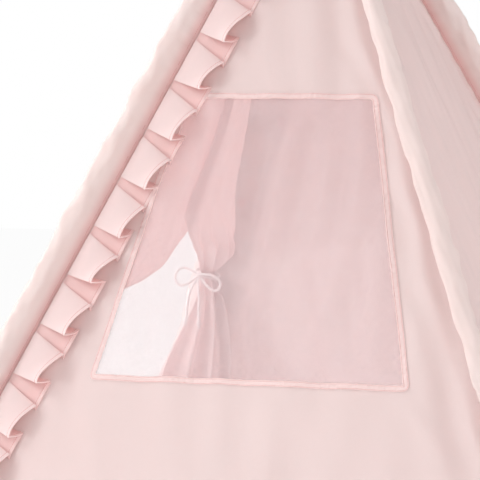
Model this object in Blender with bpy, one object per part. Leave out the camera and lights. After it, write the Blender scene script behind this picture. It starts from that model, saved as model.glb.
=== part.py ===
"""Folding play tent: four sectional poles in sewn corner sleeves, panels with a centre fold,
a mesh window, a frill on each front corner and two door curtains tied back with bows.

Metres, +Z up, origin on the floor at the middle of the tent, door towards -Y, window in the +X side.
All fold lines, at the corners and down the middle of each side, pass through one point above
the canopy, so the walls fold outwards like a paper star while the poles close together.
"""

import math

import bmesh
import bpy
from mathutils import Vector

# The pyramid that the seams make
HALF_BASE = 0.600  # half the side of the square that the corner seams make on the floor
APEX_HEIGHT = 1.365  # where the corner seams would meet
CANOPY_TOP = APEX_HEIGHT - 0.150  # height of the open top hem
CANOPY_HEM = 0.050  # height of the bottom hem

# Poles
POLE_RADIUS = 0.009
POLE_SIDES = 16
POLE_OUT = 0.028  # pole axis to corner seam
POLE_TWIST = 0.017  # how far each pole passes the tent's own axis, to one side
POLE_ABOVE = 0.175  # pole length past the crossing
POLE_BREAKS = (0.36, 0.69)  # where a pole comes apart, as shares of its length
POLE_CHAMFER = 0.0015
SECTION_GAP = 0.0003
FERRULE_HALF = 0.038
FERRULE_WALL = 0.0010
RUNNING_GAP = 0.0005

# Foot caps
CAP_HEIGHT = 0.046
CAP_WALL = 0.0035
CAP_RIM = 0.0012
CAP_SOLE = 0.0115  # along the pole, so that the sole is 5 mm thick at its thinnest

# Sleeves
SLEEVE_WALL = 0.0015
SLEEVE_GAP = 0.0003  # between the tunnel and a ferrule
SLEEVE_RINGS = 8
SLEEVE_PAST_HEM = 0.006
TUNNEL_SPAN = math.radians(128)  # from straight out to where the tunnel meets the seam allowance
TUNNEL_STEPS = 12
FLANK_STEPS = 4  # from the seam allowance out to the tunnel
WEB_HALF = 0.0008  # half the thickness of the seam allowance
WEB_END = 0.0010  # reach of the seam allowance past the seam line
WEB_LENGTH = 0.011

# Cloth plates
PLATE = 0.0015
SEAM_CLEAR = 0.00145  # plate edge to seam line, on the inside
SEAM_BEVEL = 0.0060  # the same, on the outside, so that the fold can close
CREASE_CLEAR = 0.0004
CREASE_BEVEL = 0.0036
SEWN_GAP = 0.0003

# Window
WINDOW_SILL = 0.5505
WINDOW_HEAD = 0.950
WINDOW_REAR_WIDTHS = (0.150, 0.252)  # from the centre fold, at the head and at the sill
WINDOW_FRONT_WIDTHS = (0.142, 0.226)
MESH_PLATE = 0.0006
BINDING_WIDTH = 0.0080
BINDING_PLATE = 0.0010

# Frills
FRILL_PLEATS = 16
FRILL_TOP_GAP = 0.013  # along the seam, from the top hem
FRILL_HEM_GAP = 0.038
FRILL_START = 0.0040  # from the seam line
FRILL_WIDTH = 0.0560
FRILL_PLATE = 0.0012
FRILL_RISE = 0.0230
FRILL_FLAT_RISE = 0.0024  # clears the window's binding
FRILL_FLAT_SHARE = 0.5  # of the width, over which that rise grows
FRILL_SHARE_STEPS = (0.0, 0.06, 0.34, 0.60, 0.68, 0.84)
FRILL_SHARE_RISES = (0.10, 1.0, 0.80, 0.42, 0.0, 0.03)
FRILL_ROWS = (0.0, 0.34, 0.68, 1.0)

# Door curtains
SLIT_TOP = 0.772
TIE_HEIGHT = 0.644
GATHER_WIDTH = 0.050  # seam to free edge at the tie
FREE_HEM = 0.205  # height of the free edge's lower end
FREE_HEM_REACH = 0.170  # seam to free edge there
SWEEP_POWER = 1.6  # how soon the free edge sweeps aside below the slit's top
FLARE_RATE = 1.1  # how soon it flares again below the tie
FLARE_POWER = 0.8
HANG_RATE = 2.5  # how soon the folds reach their full depth below the tie
CURTAIN_FOLDS = 4
FOLD_DEPTH_TIE = 0.010
FOLD_DEPTH_HEM = 0.019
GATHER_INWARD = 0.014  # the gathered cloth lies inside the pole line
DOOR_LAP = 0.044  # the outer cloth's reach past the middle, above the slit
DOOR_CLEAR = 0.0050  # from the middle to the inner cloth's edge, so that the fold can close
OVER_LIFT = 0.0020  # how far the outer door cloth lies off the inner one's plane
CURTAIN_COLUMNS = 20
FLAT_SHARE = 0.10  # of each row, beside the seam, where the cloth lies flat
LOOSE_SHARE = 0.20  # over which the folds then grow
BEVEL_SHARE = 0.22  # over which the seam edge's bevel runs out
LIFT_SHARE = 0.30  # over which the outer door cloth rises to its lift
SWEEP_SHARES = (0.0, 0.29, 0.52, 0.72, 0.875)  # rows from the slit's top down to the tie
HANG_SHARES = (0.0, 0.032, 0.083, 0.175, 0.31, 0.495, 0.714, 1.0)  # rows from the tie down to the hem

# Ties
CORD = 0.0046
CORD_BEVEL_RESOLUTION = 2
CORD_POINT_STEP = 2.0  # diameters
ROUTE_PARTS = 12  # straight parts between two points of a route, when it is measured
KNOT_RADIUS = 0.0068
KNOT_STACKS = 6
KNOT_SIDES = 10
KNOT_OUT = 0.064  # seam to knot
KNOT_IN = 0.013
TAIL_KNOT = ((0.0016, 2.0), (0.0065, 2.0), (0.0082, 1.2))  # past the cord's end, and times its radius
BOW_TURN = math.radians(21.0)  # the bow's plane, turned from the Y axis
# Each bow cord's points between its ends: away from the knot, towards the tent's inside, and down.
# The ends stand square on the knot, in the directions given in the same way.
LOOP_RING = (
    (0.020, 0.000, -0.012), (0.033, 0.002, -0.010), (0.039, 0.004, 0.003),
    (0.032, 0.006, 0.015), (0.019, 0.007, 0.013),
)
LOOP_RING_ENDS = ((0.95, 0.0, -0.30), (0.80, 0.50, 0.30))
LOOP_DROP = (
    (-0.020, 0.011, -0.001), (-0.033, 0.010, 0.008), (-0.034, 0.009, 0.020),
    (-0.024, 0.009, 0.025), (-0.013, 0.008, 0.017),
)
LOOP_DROP_ENDS = ((-0.60, 0.80, -0.10), (-0.55, 0.35, 0.75))
TAIL_OUTER = ((0.011, 0.004, 0.018), (0.017, 0.003, 0.034), (0.020, 0.002, 0.052), (0.022, 0.002, 0.070))
TAIL_OUTER_END = (0.35, 0.20, 0.92)
TAIL_INNER = ((0.001, 0.0125, 0.018), (0.000, 0.0125, 0.036), (0.001, 0.012, 0.054), (0.001, 0.012, 0.074))
TAIL_INNER_END = (0.0, 0.90, 0.43)
# Each wrap's points: from the seam along the door plane, and out of that plane; its end stands on the knot
WRAP_OUTER = ((0.0070, 0.0036), (0.018, 0.0036), (0.034, 0.0030), (0.047, 0.0005))
WRAP_OUTER_END = (-0.70, 0.70)
WRAP_INNER = (
    (0.0035, -0.0065), (0.0045, -0.0150), (0.0070, -0.0270),
    (0.016, -0.0300), (0.030, -0.0300), (0.046, -0.0286),
)
WRAP_INNER_END = (-0.70, -0.70)
CORD_STAND = 0.003  # length that a cord runs square to the knot

CORNERS = {"front_right": (1, -1), "back_right": (1, 1), "back_left": (-1, 1), "front_left": (-1, -1)}
SIDES = {
    "right": Vector((1, 0, 0)),
    "back": Vector((0, 1, 0)),
    "left": Vector((-1, 0, 0)),
    "front": Vector((0, -1, 0)),
}
APEX = Vector((0, 0, APEX_HEIGHT))
UP = Vector((0, 0, 1))

FERRULE_BORE = POLE_RADIUS + RUNNING_GAP
FERRULE_RADIUS = FERRULE_BORE + FERRULE_WALL
SLEEVE_BORE = FERRULE_RADIUS + SLEEVE_GAP
SLEEVE_RADIUS = SLEEVE_BORE + SLEEVE_WALL

FINISHES = {
    "pale_cloth": ((0.90, 0.80, 0.78), 0.85, 0.0),
    "frill_cloth": ((0.95, 0.82, 0.81), 0.85, 0.0),
    "window_mesh": ((0.95, 0.90, 0.92), 0.80, 0.0),
    "binding": ((0.94, 0.84, 0.82), 0.85, 0.0),
    "cord": ((0.93, 0.90, 0.89), 0.80, 0.0),
    "pine": ((0.80, 0.63, 0.42), 0.60, 0.0),
    "ferrule": ((0.75, 0.76, 0.78), 0.35, 1.0),
    "rubber": ((0.16, 0.16, 0.17), 0.80, 0.0),
}


def clear_scene():
    """Removes the objects of the scene that the file opens with."""
    for found in list(bpy.data.objects):
        bpy.data.objects.remove(found, do_unlink=True)


def make_finish(name):
    """A Principled material with the finish's colour, roughness and metallic value."""
    colour, roughness, metallic = FINISHES[name]
    made = bpy.data.materials.new(name)
    made.use_nodes = True
    shader = made.node_tree.nodes["Principled BSDF"]
    shader.inputs["Base Color"].default_value = (*colour, 1.0)
    shader.inputs["Roughness"].default_value = roughness
    shader.inputs["Metallic"].default_value = metallic
    return made


def finish_of(name):
    """The material of that name, made on first use."""
    return bpy.data.materials.get(name) or make_finish(name)


def solid_from_rings(name, rings, finish, ring_loop=False):
    """Joins rings of equally many points into one closed solid, whose origin is the apex point.

    With ring_loop the last ring meets the first, as in a tube with a wall. Otherwise both ends are capped.
    """
    shell = bmesh.new()
    rows = [[shell.verts.new(point - APEX) for point in ring] for ring in rings]
    count = len(rows[0])
    pairs = list(zip(rows, rows[1:] + rows[:1])) if ring_loop else list(zip(rows, rows[1:]))
    for low, high in pairs:
        for i in range(count):
            j = (i + 1) % count
            shell.faces.new((low[i], low[j], high[j], high[i]))
    if not ring_loop:
        shell.faces.new(rows[0])
        shell.faces.new(rows[-1])
    shell.normal_update()
    bmesh.ops.triangulate(shell, faces=shell.faces[:])
    bmesh.ops.recalc_face_normals(shell, faces=shell.faces[:])
    mesh = bpy.data.meshes.new(name)
    shell.to_mesh(mesh)
    shell.free()
    mesh.materials.append(finish_of(finish))
    place(bpy.data.objects.new(name, mesh))


def place(made):
    """Puts an object in the scene with its origin on the apex point, which every fold line passes through."""
    made.location = APEX
    bpy.context.scene.collection.objects.link(made)


def circle(centre, across, along, radius, sides=POLE_SIDES):
    """Points of a circle round centre in the plane of two unit vectors."""
    turns = [2 * math.pi * i / sides for i in range(sides)]
    return [centre + radius * (math.cos(turn) * across + math.sin(turn) * along) for turn in turns]


class Corner:
    """One corner of the tent: its seam line and its pole's axis."""

    def __init__(self, name):
        self.name = name
        x_sign, y_sign = CORNERS[name]
        self.foot = Vector((x_sign * HALF_BASE, y_sign * HALF_BASE, 0))
        self.seam = (self.foot - APEX).normalized()
        self.out = Vector((x_sign, y_sign, 0)).normalized()
        self.aside = UP.cross(self.out)
        self.fin = (self.out - self.out.dot(self.seam) * self.seam).normalized()
        pole_foot = self.foot + POLE_OUT * self.fin
        crossing_run = -POLE_OUT * self.fin.dot(self.out) / self.seam.dot(self.out)
        crossing = APEX + crossing_run * self.seam + POLE_OUT * self.fin - POLE_TWIST * self.aside
        self.pole = (crossing - pole_foot).normalized()
        self.ground = pole_foot - self.pole * (pole_foot.z / self.pole.z)
        self.pole_length = (crossing - self.ground).length + POLE_ABOVE
        self.across = self.pole.cross(self.aside).normalized()
        self.beside = self.across.cross(self.pole)

    def on_seam(self, run):
        """The seam's point at a distance from the apex point."""
        return APEX + run * self.seam

    def run_at(self, height):
        """Distance along the seam from the apex point to a height."""
        return (APEX_HEIGHT - height) / -self.seam.z

    def on_pole(self, run):
        """The pole axis's point at a distance from the floor."""
        return self.ground + run * self.pole

    def pole_ring(self, run, radius):
        """A ring square to the pole."""
        return circle(self.on_pole(run), self.across, self.beside, radius)

    def section(self, run):
        """The sleeve's cross-section at a distance along the seam: two points and two unit vectors."""
        seam_point = self.on_seam(run)
        pole_run = (seam_point - self.ground).dot(self.seam) / self.pole.dot(self.seam)
        pole_point = self.on_pole(pole_run)
        outward = (pole_point - seam_point).normalized()
        return seam_point, pole_point, outward, self.seam.cross(outward)


def build_poles(corner):
    """The pole's three sections, the two ferrules that join them and the foot cap."""
    breaks = [CAP_SOLE] + [share * corner.pole_length for share in POLE_BREAKS] + [corner.pole_length]
    for part, low, high in zip(("lower", "middle", "upper"), breaks, breaks[1:]):
        start = low + SECTION_GAP / 2
        end = high - SECTION_GAP / 2
        rings = [
            corner.pole_ring(start, POLE_RADIUS - POLE_CHAMFER),
            corner.pole_ring(start + POLE_CHAMFER, POLE_RADIUS),
            corner.pole_ring(end - POLE_CHAMFER, POLE_RADIUS),
            corner.pole_ring(end, POLE_RADIUS - POLE_CHAMFER),
        ]
        solid_from_rings(f"{corner.name}_pole_{part}", rings, "pine")
    for part, middle in zip(("lower", "upper"), breaks[1:3]):
        rings = [
            corner.pole_ring(middle - FERRULE_HALF, FERRULE_RADIUS),
            corner.pole_ring(middle + FERRULE_HALF, FERRULE_RADIUS),
            corner.pole_ring(middle + FERRULE_HALF, FERRULE_BORE),
            corner.pole_ring(middle - FERRULE_HALF, FERRULE_BORE),
        ]
        solid_from_rings(f"{corner.name}_ferrule_{part}", rings, "ferrule", ring_loop=True)


def build_foot_cap(corner):
    """A rubber cup on the pole's end, cut level by the floor."""
    radius = FERRULE_BORE + CAP_WALL
    sole = [point - corner.pole * (point.z / corner.pole.z) for point in corner.pole_ring(0, radius)]
    rings = [
        sole,
        corner.pole_ring(CAP_HEIGHT - CAP_RIM, radius),
        corner.pole_ring(CAP_HEIGHT, radius - CAP_RIM),
        corner.pole_ring(CAP_HEIGHT, FERRULE_BORE),
        corner.pole_ring(CAP_SOLE - SECTION_GAP, FERRULE_BORE),
    ]
    solid_from_rings(f"{corner.name}_foot_cap", rings, "rubber")


def sleeve_outline():
    """The sleeve's outline as (out, aside) pairs: a seam allowance that widens into a round tunnel."""
    web = [(-WEB_END / 2, -WEB_HALF), (-WEB_END, 0.0), (-WEB_END / 2, WEB_HALF), (WEB_LENGTH, WEB_HALF)]
    turns = [TUNNEL_SPAN * (1 - 2 * i / TUNNEL_STEPS) for i in range(TUNNEL_STEPS + 1)]
    tunnel = [(SLEEVE_RADIUS * math.cos(turn), SLEEVE_RADIUS * math.sin(turn)) for turn in turns]
    return web, tunnel, (WEB_LENGTH, -WEB_HALF)


def bore_turns():
    """The turn of the bore's point that faces each point of the sleeve's outline, in its order."""
    slim = math.pi - math.asin(0.5 * WEB_HALF / SLEEVE_BORE)
    wide = math.pi - math.asin(0.85 * WEB_HALF / SLEEVE_BORE)
    flank = [wide + (TUNNEL_SPAN - wide) * i / FLANK_STEPS for i in range(FLANK_STEPS)]
    tunnel = [TUNNEL_SPAN * (1 - 2 * i / TUNNEL_STEPS) for i in range(TUNNEL_STEPS + 1)]
    return [-slim, math.pi, slim, *flank, *tunnel, *[-turn for turn in reversed(flank)]]


def build_sleeve(corner):
    """The sewn tunnel that the pole runs in."""
    top = corner.run_at(CANOPY_TOP)
    bottom = corner.run_at(CANOPY_HEM + SLEEVE_PAST_HEM)
    web, tunnel, last = sleeve_outline()
    turns = bore_turns()
    shares = [i / FLANK_STEPS for i in range(1, FLANK_STEPS)]
    outside = []
    inside = []
    for i in range(SLEEVE_RINGS):
        run = top + (bottom - top) * i / (SLEEVE_RINGS - 1)
        seam_point, pole_point, outward, aside = corner.section(run)
        ring = [seam_point + a * outward + b * aside for a, b in web]
        arc = [pole_point + a * outward + b * aside for a, b in tunnel]
        end = seam_point + last[0] * outward + last[1] * aside
        ring += [ring[-1].lerp(arc[0], share) for share in shares] + arc
        ring += [arc[-1].lerp(end, share) for share in shares] + [end]
        outside.append(ring)
        bore = [math.cos(turn) * outward + math.sin(turn) * aside for turn in turns]
        inside.append([pole_point + SLEEVE_BORE * way for way in bore])
    solid_from_rings(f"{corner.name}_sleeve", outside + inside[::-1], "pale_cloth", ring_loop=True)


class Half:
    """One half of a side, from its centre fold to one corner seam."""

    def __init__(self, side, corner_name):
        self.side = SIDES[side]
        self.corner = Corner(corner_name)
        level = UP.cross(self.side)
        self.sideways = level if level.dot(self.corner.out) > 0 else -level
        self.down = (self.side * HALF_BASE - APEX).normalized()
        self.normal = (self.side - self.side.dot(self.down) * self.down).normalized()
        self.tan = self.corner.seam.dot(self.sideways) / self.corner.seam.dot(self.down)
        self.cos = self.corner.seam.dot(self.down)

    def depth_at(self, height):
        """Distance down the side from the apex point to a height."""
        return (APEX_HEIGHT - height) / -self.down.z

    def point(self, x, depth, lift=0.0):
        """A point from its distance to the centre fold, down the side, and off it."""
        return APEX + x * self.sideways + depth * self.down + lift * self.normal

    def seam_x(self, depth, clear=0.0):
        """Distance from the centre fold to a line beside the seam."""
        return depth * self.tan - clear / self.cos

    def from_seam(self, height, away, lift=0.0):
        """A point from its height, its level distance to the seam and its lift off the side."""
        depth = self.depth_at(height)
        return self.point(self.seam_x(depth) - away, depth, lift)

    def faces(self, outline, middle, thickness):
        """The outer and inner rings of a plate; outline gives (x, depth) pairs for a layer."""
        return [
            [self.point(x, depth, middle + thickness / 2) for x, depth in outline(True)],
            [self.point(x, depth, middle - thickness / 2) for x, depth in outline(False)],
        ]


def window_x(half, depth, grow=0.0):
    """Distance from the centre fold to the window's side at a depth, moved outwards by grow."""
    sill = half.depth_at(WINDOW_SILL)
    head = half.depth_at(WINDOW_HEAD)
    share = (depth - head) / (sill - head)
    high, low = WINDOW_REAR_WIDTHS if half.corner.out.y > 0 else WINDOW_FRONT_WIDTHS
    return high + share * (low - high) + grow


def build_plain_half(name, half):
    """A half panel with no opening."""
    top = half.depth_at(CANOPY_TOP)
    bottom = half.depth_at(CANOPY_HEM)

    def outline(outer):
        seam = SEAM_BEVEL if outer else SEAM_CLEAR
        crease = CREASE_CLEAR if outer else CREASE_BEVEL
        seam_edge = [(half.seam_x(top, seam), top), (half.seam_x(bottom, seam), bottom)]
        return [(crease, top), *seam_edge, (crease, bottom)]

    solid_from_rings(name, half.faces(outline, 0, PLATE), "pale_cloth")


def build_window_half(which, half):
    """A half panel with half of the window cut out, its mesh and its binding."""
    top = half.depth_at(CANOPY_TOP)
    bottom = half.depth_at(CANOPY_HEM)
    head = half.depth_at(WINDOW_HEAD)
    sill = half.depth_at(WINDOW_SILL)

    def panel(outer):
        seam = SEAM_BEVEL if outer else SEAM_CLEAR
        crease = CREASE_CLEAR if outer else CREASE_BEVEL
        seam_edge = [(half.seam_x(top, seam), top), (half.seam_x(bottom, seam), bottom)]
        window_edge = [(window_x(half, sill), sill), (window_x(half, head), head)]
        return [(crease, top), *seam_edge, (crease, bottom), (crease, sill), *window_edge, (crease, head)]

    def mesh(outer):
        crease = CREASE_CLEAR if outer else CREASE_BEVEL / 2
        low = sill - SEWN_GAP
        high = head + SEWN_GAP
        edge = [(window_x(half, high, -SEWN_GAP), high), (window_x(half, low, -SEWN_GAP), low)]
        return [(crease, high), *edge, (crease, low)]

    def binding(outer):
        grow = BINDING_WIDTH / 2
        high = head - grow
        low = sill + grow
        inner_high = head + grow
        inner_low = sill - grow
        outside = [(window_x(half, high, grow), high), (window_x(half, low, grow), low)]
        inside = [(window_x(half, deep, -grow), deep) for deep in (inner_low, inner_high)]
        return [
            (CREASE_CLEAR, high), *outside, (CREASE_CLEAR, low),
            (CREASE_CLEAR, inner_low), *inside, (CREASE_CLEAR, inner_high),
        ]

    solid_from_rings(f"window_side_{which}", half.faces(panel, 0, PLATE), "pale_cloth")
    solid_from_rings(f"window_mesh_{which}", half.faces(mesh, 0, MESH_PLATE), "window_mesh")
    lift = PLATE / 2 + SEWN_GAP + BINDING_PLATE / 2
    solid_from_rings(f"window_binding_{which}", half.faces(binding, lift, BINDING_PLATE), "binding")


def build_frill(name, half):
    """A strip of pleats that is sewn in the corner seam and lies over the side panel."""
    top = half.corner.run_at(CANOPY_TOP) + FRILL_TOP_GAP
    bottom = half.corner.run_at(CANOPY_HEM) - FRILL_HEM_GAP
    pitch = (bottom - top) / FRILL_PLEATS
    stations = [
        (top + (pleat + share) * pitch, rise)
        for pleat in range(FRILL_PLEATS)
        for share, rise in zip(FRILL_SHARE_STEPS, FRILL_SHARE_RISES)
    ]
    stations.append((bottom, FRILL_SHARE_RISES[0]))
    square = (half.corner.seam.cross(half.normal)).normalized()
    if square.dot(half.sideways) > 0:
        square = -square
    base = PLATE / 2 + SEWN_GAP
    rings = []
    for run, rise in stations:
        seam_point = half.corner.on_seam(run)
        under = []
        over = []
        for share in FRILL_ROWS:
            away = FRILL_START + share * FRILL_WIDTH
            flat_rise = FRILL_FLAT_RISE * min(1.0, share / FRILL_FLAT_SHARE)
            lift = base + flat_rise + FRILL_RISE * rise * share * share
            flat = seam_point + away * square
            under.append(flat + lift * half.normal)
            over.append(flat + (lift + FRILL_PLATE) * half.normal)
        rings.append(under + over[::-1])
    solid_from_rings(name, rings, "frill_cloth")


def smooth(share):
    """Goes from 0 to 1 with level ends."""
    share = min(1.0, max(0.0, share))
    return share * share * (3 - 2 * share)


def free_edge(height, past_middle):
    """Where a row that meets the seam at that height has its free end: height, distance to the seam.

    Above the slit the distance is None, and the row ends at past_middle.
    """
    if height >= SLIT_TOP:
        return height, None
    if height >= TIE_HEIGHT:
        share = (SLIT_TOP - height) / (SLIT_TOP - TIE_HEIGHT)
        full = HALF_BASE * (1 - SLIT_TOP / APEX_HEIGHT) + past_middle
        return height, full + (GATHER_WIDTH - full) * (1 - (1 - share) ** SWEEP_POWER)
    share = (TIE_HEIGHT - height) / (TIE_HEIGHT - CANOPY_HEM)
    drop = TIE_HEIGHT - share * (TIE_HEIGHT - FREE_HEM)
    return drop, GATHER_WIDTH + (FREE_HEM_REACH - GATHER_WIDTH) * smooth(share * FLARE_RATE) ** FLARE_POWER


def build_door_cloth(name, half, past_middle, over):
    """Half of the door side: flat above the slit, gathered at the tie, hanging in folds below it.

    Above the slit one half laps the other: past_middle is how far it reaches, over its lift there.
    """
    rows = [CANOPY_TOP]
    rows += [SLIT_TOP - share * (SLIT_TOP - TIE_HEIGHT) for share in SWEEP_SHARES]
    rows += [TIE_HEIGHT - share * (TIE_HEIGHT - CANOPY_HEM) for share in HANG_SHARES]
    rings = []
    for height in rows:
        edge_height, reach = free_edge(height, past_middle)
        seam_x = half.seam_x(half.depth_at(height))
        free_x = -past_middle if reach is None else half.seam_x(half.depth_at(edge_height)) - reach
        gathered = smooth((SLIT_TOP - height) / (SLIT_TOP - TIE_HEIGHT))
        hanging = smooth((TIE_HEIGHT - height) / (TIE_HEIGHT - CANOPY_HEM) * HANG_RATE)
        depth = gathered * (FOLD_DEPTH_TIE + (FOLD_DEPTH_HEM - FOLD_DEPTH_TIE) * hanging)
        inward = gathered * GATHER_INWARD
        outer = []
        inner = []
        for column in range(CURTAIN_COLUMNS + 1):
            share = column / CURTAIN_COLUMNS
            row_height = height + (edge_height - height) * share
            x = seam_x + (free_x - seam_x) * share
            loose = smooth((share - FLAT_SHARE) / LOOSE_SHARE)
            wave = math.sin(2 * math.pi * CURTAIN_FOLDS * (share - FLAT_SHARE))
            lift = loose * (depth * wave - inward) + over * smooth(share / LIFT_SHARE)
            row_depth = half.depth_at(row_height)
            bevel = SEAM_CLEAR + (SEAM_BEVEL - SEAM_CLEAR) * (1 - smooth(share / BEVEL_SHARE))
            outer_x = x - (bevel - SEAM_CLEAR * share) / half.cos
            inner_x = x - SEAM_CLEAR * (1 - share) / half.cos
            outer.append(half.point(outer_x, row_depth, lift + PLATE / 2))
            inner.append(half.point(inner_x, row_depth, lift - PLATE / 2))
        rings.append(outer + inner[::-1])
    solid_from_rings(name, rings, "pale_cloth")


def smooth_route(points, step):
    """Points about one step apart on a smooth curve through the given points."""
    ends = [2 * points[0] - points[1]] + list(points) + [2 * points[-1] - points[-2]]
    fine = []
    for before, start, end, after in zip(ends, ends[1:], ends[2:], ends[3:]):
        slope = end - before
        bend = 2 * before - 5 * start + 4 * end - after
        twist = 3 * start - before - 3 * end + after
        for i in range(ROUTE_PARTS):
            t = i / ROUTE_PARTS
            fine.append(0.5 * (2 * start + slope * t + bend * t * t + twist * t * t * t))
    fine.append(points[-1].copy())
    total = sum((b - a).length for a, b in zip(fine, fine[1:]))
    count = max(3, round(total / step))
    spaced = [fine[0]]
    walked = 0.0
    for a, b in zip(fine, fine[1:]):
        length = (b - a).length
        while len(spaced) < count and walked + length >= total * len(spaced) / count:
            share = (total * len(spaced) / count - walked) / length
            spaced.append(a + share * (b - a))
        walked += length
    spaced.append(fine[-1])
    return spaced


def build_cord(name, points, end_knot=False):
    """A round cord along a smooth route; with end_knot its last stretch swells into a knot."""
    route = [points[0]] + smooth_route(points[1:-1], CORD_POINT_STEP * CORD) + [points[-1]]
    radii = [1.0] * len(route)
    if end_knot:
        tip = route[-1]
        way = (route[-1] - route[-2]).normalized()
        route += [tip + past * way for past, _ in TAIL_KNOT]
        radii += [swell for _, swell in TAIL_KNOT]
    curve = bpy.data.curves.new(name, "CURVE")
    curve.dimensions = "3D"
    curve.bevel_depth = CORD / 2
    curve.bevel_resolution = CORD_BEVEL_RESOLUTION
    curve.use_fill_caps = True
    spline = curve.splines.new("POLY")
    spline.points.add(len(route) - 1)
    for target, point, radius in zip(spline.points, route, radii):
        target.co = (*(point - APEX), 1.0)
        target.radius = radius
    curve.materials.append(finish_of("cord"))
    place(bpy.data.objects.new(name, curve))


def build_tie(which, half):
    """The two cords that hold a curtain back: wraps from the seam, a knot, a bow's loops and tails."""
    knot = half.from_seam(TIE_HEIGHT, KNOT_OUT, -KNOT_IN)
    mirror = 1 if half.corner.foot.x < 0 else -1
    away = Vector((mirror * math.sin(BOW_TURN), -math.cos(BOW_TURN), 0))
    inside = Vector((mirror * math.cos(BOW_TURN), math.sin(BOW_TURN), 0))

    def stand(direction):
        """Two points square to the knot, the nearer first."""
        way = direction.normalized()
        seat = KNOT_RADIUS + SEWN_GAP
        return [knot + seat * way, knot + (seat + CORD_STAND) * way]

    def turned(a, b, c):
        return a * away + b * inside - c * UP

    def bow(points):
        return [knot + turned(*point) for point in points]

    def wrap(points, end):
        route = [half.from_seam(TIE_HEIGHT, away_m, lift) for away_m, lift in points]
        way = -end[0] * half.sideways + end[1] * half.normal
        return route + stand(way)[::-1]

    build_cord(f"tie_{which}_wrap_outer", wrap(WRAP_OUTER, WRAP_OUTER_END))
    build_cord(f"tie_{which}_wrap_inner", wrap(WRAP_INNER, WRAP_INNER_END))
    loops = {"ring": (LOOP_RING, LOOP_RING_ENDS), "drop": (LOOP_DROP, LOOP_DROP_ENDS)}
    for part, (points, (start, end)) in loops.items():
        route = stand(turned(*start)) + bow(points) + stand(turned(*end))[::-1]
        build_cord(f"tie_{which}_loop_{part}", route)
    tails = {"outer": (TAIL_OUTER, TAIL_OUTER_END), "inner": (TAIL_INNER, TAIL_INNER_END)}
    for part, (points, start) in tails.items():
        build_cord(f"tie_{which}_tail_{part}", stand(turned(*start)) + bow(points), end_knot=True)
    rings = []
    for i in range(1, KNOT_STACKS):
        turn = math.pi * i / KNOT_STACKS
        centre = knot - KNOT_RADIUS * math.cos(turn) * UP
        rings.append(circle(centre, away, inside, KNOT_RADIUS * math.sin(turn), KNOT_SIDES))
    solid_from_rings(f"tie_{which}_knot", rings, "cord")


def main():
    """Builds the tent corner by corner and side by side."""
    clear_scene()
    for name in CORNERS:
        corner = Corner(name)
        build_poles(corner)
        build_foot_cap(corner)
        build_sleeve(corner)
    build_window_half("rear", Half("right", "back_right"))
    build_window_half("front", Half("right", "front_right"))
    build_plain_half("back_panel_right", Half("back", "back_right"))
    build_plain_half("back_panel_left", Half("back", "back_left"))
    build_plain_half("plain_side_rear", Half("left", "back_left"))
    build_plain_half("plain_side_front", Half("left", "front_left"))
    build_frill("frill_right", Half("right", "front_right"))
    build_frill("frill_left", Half("left", "front_left"))
    doors = {"right": (DOOR_LAP, OVER_LIFT), "left": (-DOOR_CLEAR, 0.0)}
    for which, (past_middle, over) in doors.items():
        half = Half("front", f"front_{which}")
        build_door_cloth(f"door_cloth_{which}", half, past_middle, over)
        build_tie(which, half)


main()
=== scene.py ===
"""The looks of a folding play tent: pink cotton on four corner poles, with pleated frills on the
front corners, a net window in one side, and door curtains tied back with twisted cords.

Metres, +Z up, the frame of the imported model. Cloth is made as grids of points on the tent's own
planes and corner lines. Poles, ferrules, foot caps and thread are shaped with Blender's operators.
"""

import logging
import math
from collections.abc import Callable, Iterable
from dataclasses import dataclass
from enum import Enum

import bmesh
import bpy
import numpy as np
from mathutils import Matrix, Vector


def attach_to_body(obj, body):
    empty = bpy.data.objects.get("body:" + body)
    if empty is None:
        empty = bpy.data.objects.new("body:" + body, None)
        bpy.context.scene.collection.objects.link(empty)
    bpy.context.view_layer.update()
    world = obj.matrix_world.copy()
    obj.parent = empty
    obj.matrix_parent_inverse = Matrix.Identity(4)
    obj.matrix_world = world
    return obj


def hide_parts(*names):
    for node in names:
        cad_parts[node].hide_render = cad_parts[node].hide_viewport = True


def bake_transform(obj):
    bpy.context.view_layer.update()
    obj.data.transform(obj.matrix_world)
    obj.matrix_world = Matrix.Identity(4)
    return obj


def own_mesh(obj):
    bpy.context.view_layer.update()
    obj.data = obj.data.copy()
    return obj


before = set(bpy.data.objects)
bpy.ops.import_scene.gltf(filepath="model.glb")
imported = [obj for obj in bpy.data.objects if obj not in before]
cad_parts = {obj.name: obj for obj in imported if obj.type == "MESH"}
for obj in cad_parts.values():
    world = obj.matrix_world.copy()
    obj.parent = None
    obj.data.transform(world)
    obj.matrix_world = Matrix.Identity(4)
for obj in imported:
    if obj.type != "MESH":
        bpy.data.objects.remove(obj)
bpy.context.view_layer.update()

LOG = logging.getLogger("tent")
UP = np.array((0.0, 0.0, 1.0))
CLOTH_MAP = "cloth"
LOCAL_PLACE = "local_place"
# The point attribute that holds each point's share of painted shade.
PAINTED_SHADE = "painted_shade"
SHARP_ANGLE = math.radians(48)
HEM_ROW = 0.0085
HEM_ROW_END = 0.004
NEAR = 1e-5
WHITE = (1.0, 1.0, 1.0, 1.0)
Piece = bpy.types.Object
Material = bpy.types.Material
Socket = bpy.types.NodeSocket
Array = np.ndarray
Pair = tuple[float, float]
Triple = tuple[float, float, float]


def unit(way: Array) -> Array:
    """The same direction at length one."""
    return way / np.linalg.norm(way)


def smooth(share: Array) -> Array:
    """Goes from 0 to 1 with level ends, and stays there outside."""
    share = np.clip(share, 0.0, 1.0)
    return share * share * (3 - 2 * share)


def ridge(place: Array, centre: Array, width: float) -> Array:
    """A rounded ridge of height one round a centre."""
    return np.exp(-(((place - centre) / width) ** 2))


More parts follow.
